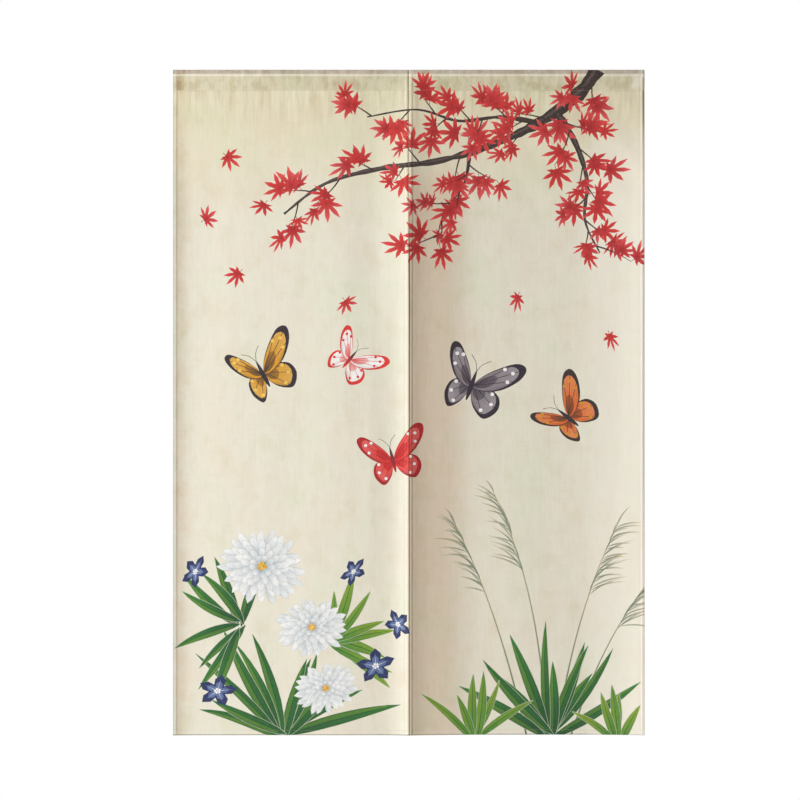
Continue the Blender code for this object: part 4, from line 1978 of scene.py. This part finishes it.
@dataclass
class Topstitching:
    """The rows of stitches along the pocket, hems and centre seam."""

    panels: Sequence[Panel]
    stitch: Stitch
    pitch: float = 0.0034
    lift: float = 0.00010
    seam_pitch: float = 0.0052
    seam_reach: float = 0.0014
    seam_drop: float = 0.0016
    seam_start: float = 0.030
    side_gap: float = 0.0012
    foot_gap: float = 0.002

    def _row(self, panel: Panel, start: Sequence, end: Sequence) -> Points:
        """Spaces a row of stitches on a panel.

        Args:
            panel: The panel it is sewn on.
            start: The row's first flat place.
            end: The row's last flat place.

        Returns:
            Each stitch's two ends and its outward way.
        """
        start, end = np.asarray(start, dtype=float), np.asarray(end, dtype=float)
        run = end - start
        length = float(np.hypot(*run))
        way = run / length
        middles = np.arange(self.pitch / 2.0, length, self.pitch)
        half = self.stitch.length / 2.0
        heads = panel.hang(start + np.outer(middles - half, way))
        tails = panel.hang(start + np.outer(middles + half, way))
        out = panel.normals(start + np.outer(middles, way))
        return np.stack((heads + out * self.lift, tails + out * self.lift, out), axis=1)

    def _seam(self) -> Points:
        """Spaces the slanting stitches that join the panels' edges.

        Returns:
            Each stitch's two ends and its outward way.
        """
        left, right = self.panels
        heights = np.arange(STITCH_LINE + self.seam_start, SEAM_END, -self.seam_pitch)
        reach, drop = self.seam_reach, self.seam_drop
        edge = left.hang(np.column_stack((np.full(len(heights), -reach), heights + drop / 2.0)))
        other = right.hang(np.column_stack((np.full(len(heights), reach), heights - drop / 2.0)))
        out = np.tile((0.0, -1.0, 0.0), (len(heights), 1))
        return np.stack((edge + out * self.lift, other + out * self.lift, out), axis=1)

    def _sew(self, name: str, rows: Sequence[Points], finish: bpy.types.Material) -> bpy.types.Object:
        """Copies the stitch to every place in some rows.

        Args:
            name: The piece's name.
            rows: Each stitch's two ends and its outward way.
            finish: The thread's material.

        Returns:
            The piece.
        """
        points, faces = self.stitch.model()
        places = np.concatenate(rows)
        ways = places[:, 1] - places[:, 0]
        lengths = np.linalg.norm(ways, axis=1)
        ways = ways / lengths[:, None]
        outs = places[:, 2]
        sides = np.cross(outs, ways)
        middles = (places[:, 0] + places[:, 1]) / 2.0
        stretch = lengths / self.stitch.length
        copies = (
            middles[:, None, :]
            + (points[None, :, 0, None] * stretch[:, None, None]) * ways[:, None, :]
            + points[None, :, 1, None] * sides[:, None, :]
            + points[None, :, 2, None] * outs[:, None, :]
        )
        corners = []
        for i in range(len(places)):
            corners.extend([[k + i * len(points) for k in face] for face in faces])
        mesh = bpy.data.meshes.new(name)
        mesh.from_pydata(copies.reshape(-1, 3).tolist(), [], corners)
        mesh.materials.append(finish)
        mesh.shade_smooth()
        piece = bpy.data.objects.new(name, mesh)
        bpy.context.scene.collection.objects.link(piece)
        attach(piece, "root")
        return piece

    def build(self, finish: bpy.types.Material) -> list[bpy.types.Object]:
        """Makes the pocket's, hems' and seam's stitching.

        Args:
            finish: The thread's material.

        Returns:
            The four pieces of thread.
        """
        pocket, sides, foot = [], [], []
        for panel in self.panels:
            relief, section = panel.relief, panel.section
            past_turn = (math.pi - 2.0) * section.turn
            low, high = panel.left + self.side_gap, panel.right - self.side_gap
            pocket.append(self._row(panel, (low, STITCH_LINE), (high, STITCH_LINE)))
            back = float(section.line[-1, 0]) - section.tail
            pocket.append(self._row(panel, (low, back), (high, back)))
            for edge, inward in ((panel.left, 1.0), (panel.right, -1.0)):
                start, end = FOOT + self.foot_gap, STITCH_LINE - self.foot_gap
                across = edge + inward * relief.side_stitch
                sides.append(self._row(panel, (across, start), (across, section.crease)))
                across = edge - inward * (relief.side_stitch + past_turn)
                sides.append(self._row(panel, (across, start), (across, end)))
            height = FOOT + relief.foot_stitch
            foot.append(self._row(panel, (low, height), (high, height)))
            height = FOOT - relief.foot_stitch - past_turn
            foot.append(self._row(panel, (low, height), (high, height)))
        return [
            self._sew("pocket_stitching", pocket, finish),
            self._sew("side_hem_stitching", sides, finish),
            self._sew("foot_hem_stitching", foot, finish),
            self._sew("centre_seam_stitching", [self._seam()], finish),
        ]


# Light and camera


@dataclass(frozen=True)
class Lamp:
    """A soft panel of light aimed at the cloth."""

    name: str
    place: Sequence[float]
    size: Sequence[float]
    power: float
    tint: Ink

    def add(self) -> None:
        """Puts the light in the scene."""
        data = bpy.data.lights.new(self.name, "AREA")
        data.shape = "RECTANGLE"
        data.size, data.size_y = self.size
        data.energy = self.power
        data.color = self.tint.linear()
        lamp = bpy.data.objects.new(self.name, data)
        lamp.location = self.place
        aim = Vector((0.0, 0.0, FOOT / 2.0)) - Vector(self.place)
        lamp.rotation_euler = aim.to_track_quat("-Z", "Y").to_euler()
        lamp.visible_camera = False
        bpy.context.scene.collection.objects.link(lamp)


SKY_TINT = Ink(255, 232, 205)
KEY_TINT = Ink(251, 251, 255)


@dataclass
class Studio:
    """A pale floor, soft light from the left, and a camera straight on."""

    floor_drop: float = 0.75
    floor_width: float = 4.6
    distance: float = 7.0
    frame_width: float = 1.4430
    view_across: float = -0.0158
    view_height: float = -0.5955
    sky: float = 0.055
    lamps: Sequence[Lamp] = (
        Lamp("key", (-4.2, -3.5, 0.20), (2.0, 2.4), 361.0, KEY_TINT),
        Lamp("fill", (1.6, -3.2, 0.2), (2.2, 2.2), 3.0, SKY_TINT),
        Lamp("back", (1.8, 2.6, 0.5), (2.0, 2.0), 105.0, KEY_TINT),
    )

    def _floor(self) -> None:
        """Lays the floor under the curtain."""
        deselect_all()
        place = (0.0, 0.0, FOOT - self.floor_drop)
        bpy.ops.mesh.primitive_plane_add(size=self.floor_width, location=place)
        floor = bpy.context.object
        floor.name = "floor"
        floor.data.materials.append(FloorFinish().build())

    def _sky(self) -> None:
        """Sets a white surround that lights the cloth less than it shows."""
        world = bpy.data.worlds.new("surround")
        world.use_nodes = True
        graph = Graph(world.node_tree)
        seen = graph.add("ShaderNodeLightPath", {}, {}, "Is Camera Ray")
        colour = graph.mix(seen, SKY_TINT.rgba(), FULL_WHITE)
        inputs = {"Color": colour, "Strength": self.sky + (1.0 - self.sky) * seen}
        shade = graph.add("ShaderNodeBackground", {}, inputs)
        graph.add("ShaderNodeOutputWorld", {}, {"Surface": shade})
        bpy.context.scene.world = world

    def _camera(self) -> None:
        """Sets the camera straight on, with a long lens."""
        data = bpy.data.cameras.new("camera")
        data.lens = data.sensor_width * self.distance / self.frame_width
        camera = bpy.data.objects.new("camera", data)
        camera.location = (self.view_across, -self.distance, self.view_height)
        camera.rotation_euler = (math.pi / 2.0, 0.0, 0.0)
        bpy.context.scene.collection.objects.link(camera)
        bpy.context.scene.camera = camera

    def build(self) -> None:
        """Makes the floor, surround, lights and camera."""
        self._floor()
        self._sky()
        for lamp in self.lamps:
            lamp.add()
        self._camera()
        settings = bpy.context.scene.view_settings
        settings.view_transform = "Standard"
        settings.look = "None"


def main() -> None:
    """Builds the printed panels, their stitches and the studio."""
    logging.basicConfig(level=logging.INFO, format="%(name)s: %(message)s")
    section = HungSection()
    crease = section.height_at(-section.half_pocket, section.crease)
    front = ClothFinish(
        "printed_linen", Ink(240, 235, 215), crease, marking=1.0, ink_share=1.0, weave=1.0
    )
    back = ClothFinish(
        "linen_back", Ink(240, 236, 222), crease, marking=0.35, ink_share=0.13, weave=1.3
    )
    finishes = (front.build(), back.build())
    marks = AutumnGarden().brush.marks
    shared = {"section": section, "relief": Relief()}
    panels = (
        Panel(
            name="left_cloth",
            left=-EDGE,
            right=-HALF_GAP,
            lap=SLIT_LAP,
            folds=LEFT_FOLDS,
            nodes=("left_panel", "left_sleeve"),
            beads=(0.0004, 0.0003),
            **shared,
        ),
        Panel(
            name="right_cloth",
            left=HALF_GAP,
            right=EDGE,
            lap=-SLIT_LAP,
            folds=RIGHT_FOLDS,
            nodes=("right_panel", "right_sleeve"),
            beads=(0.0005, 0.0005),
            **shared,
        ),
    )
    for panel in panels:
        piece = panel.build(marks, finishes)
        panel.dress(piece)
        LOG.info("%s: %d faces", piece.name, len(piece.data.polygons))
    thread = ThreadFinish("cotton_thread", Ink(206, 194, 164)).build()
    for piece in Topstitching(panels, Stitch()).build(thread):
        LOG.info("%s: %d faces", piece.name, len(piece.data.polygons))
    Studio().build()


if __name__ == "__main__":
    main()
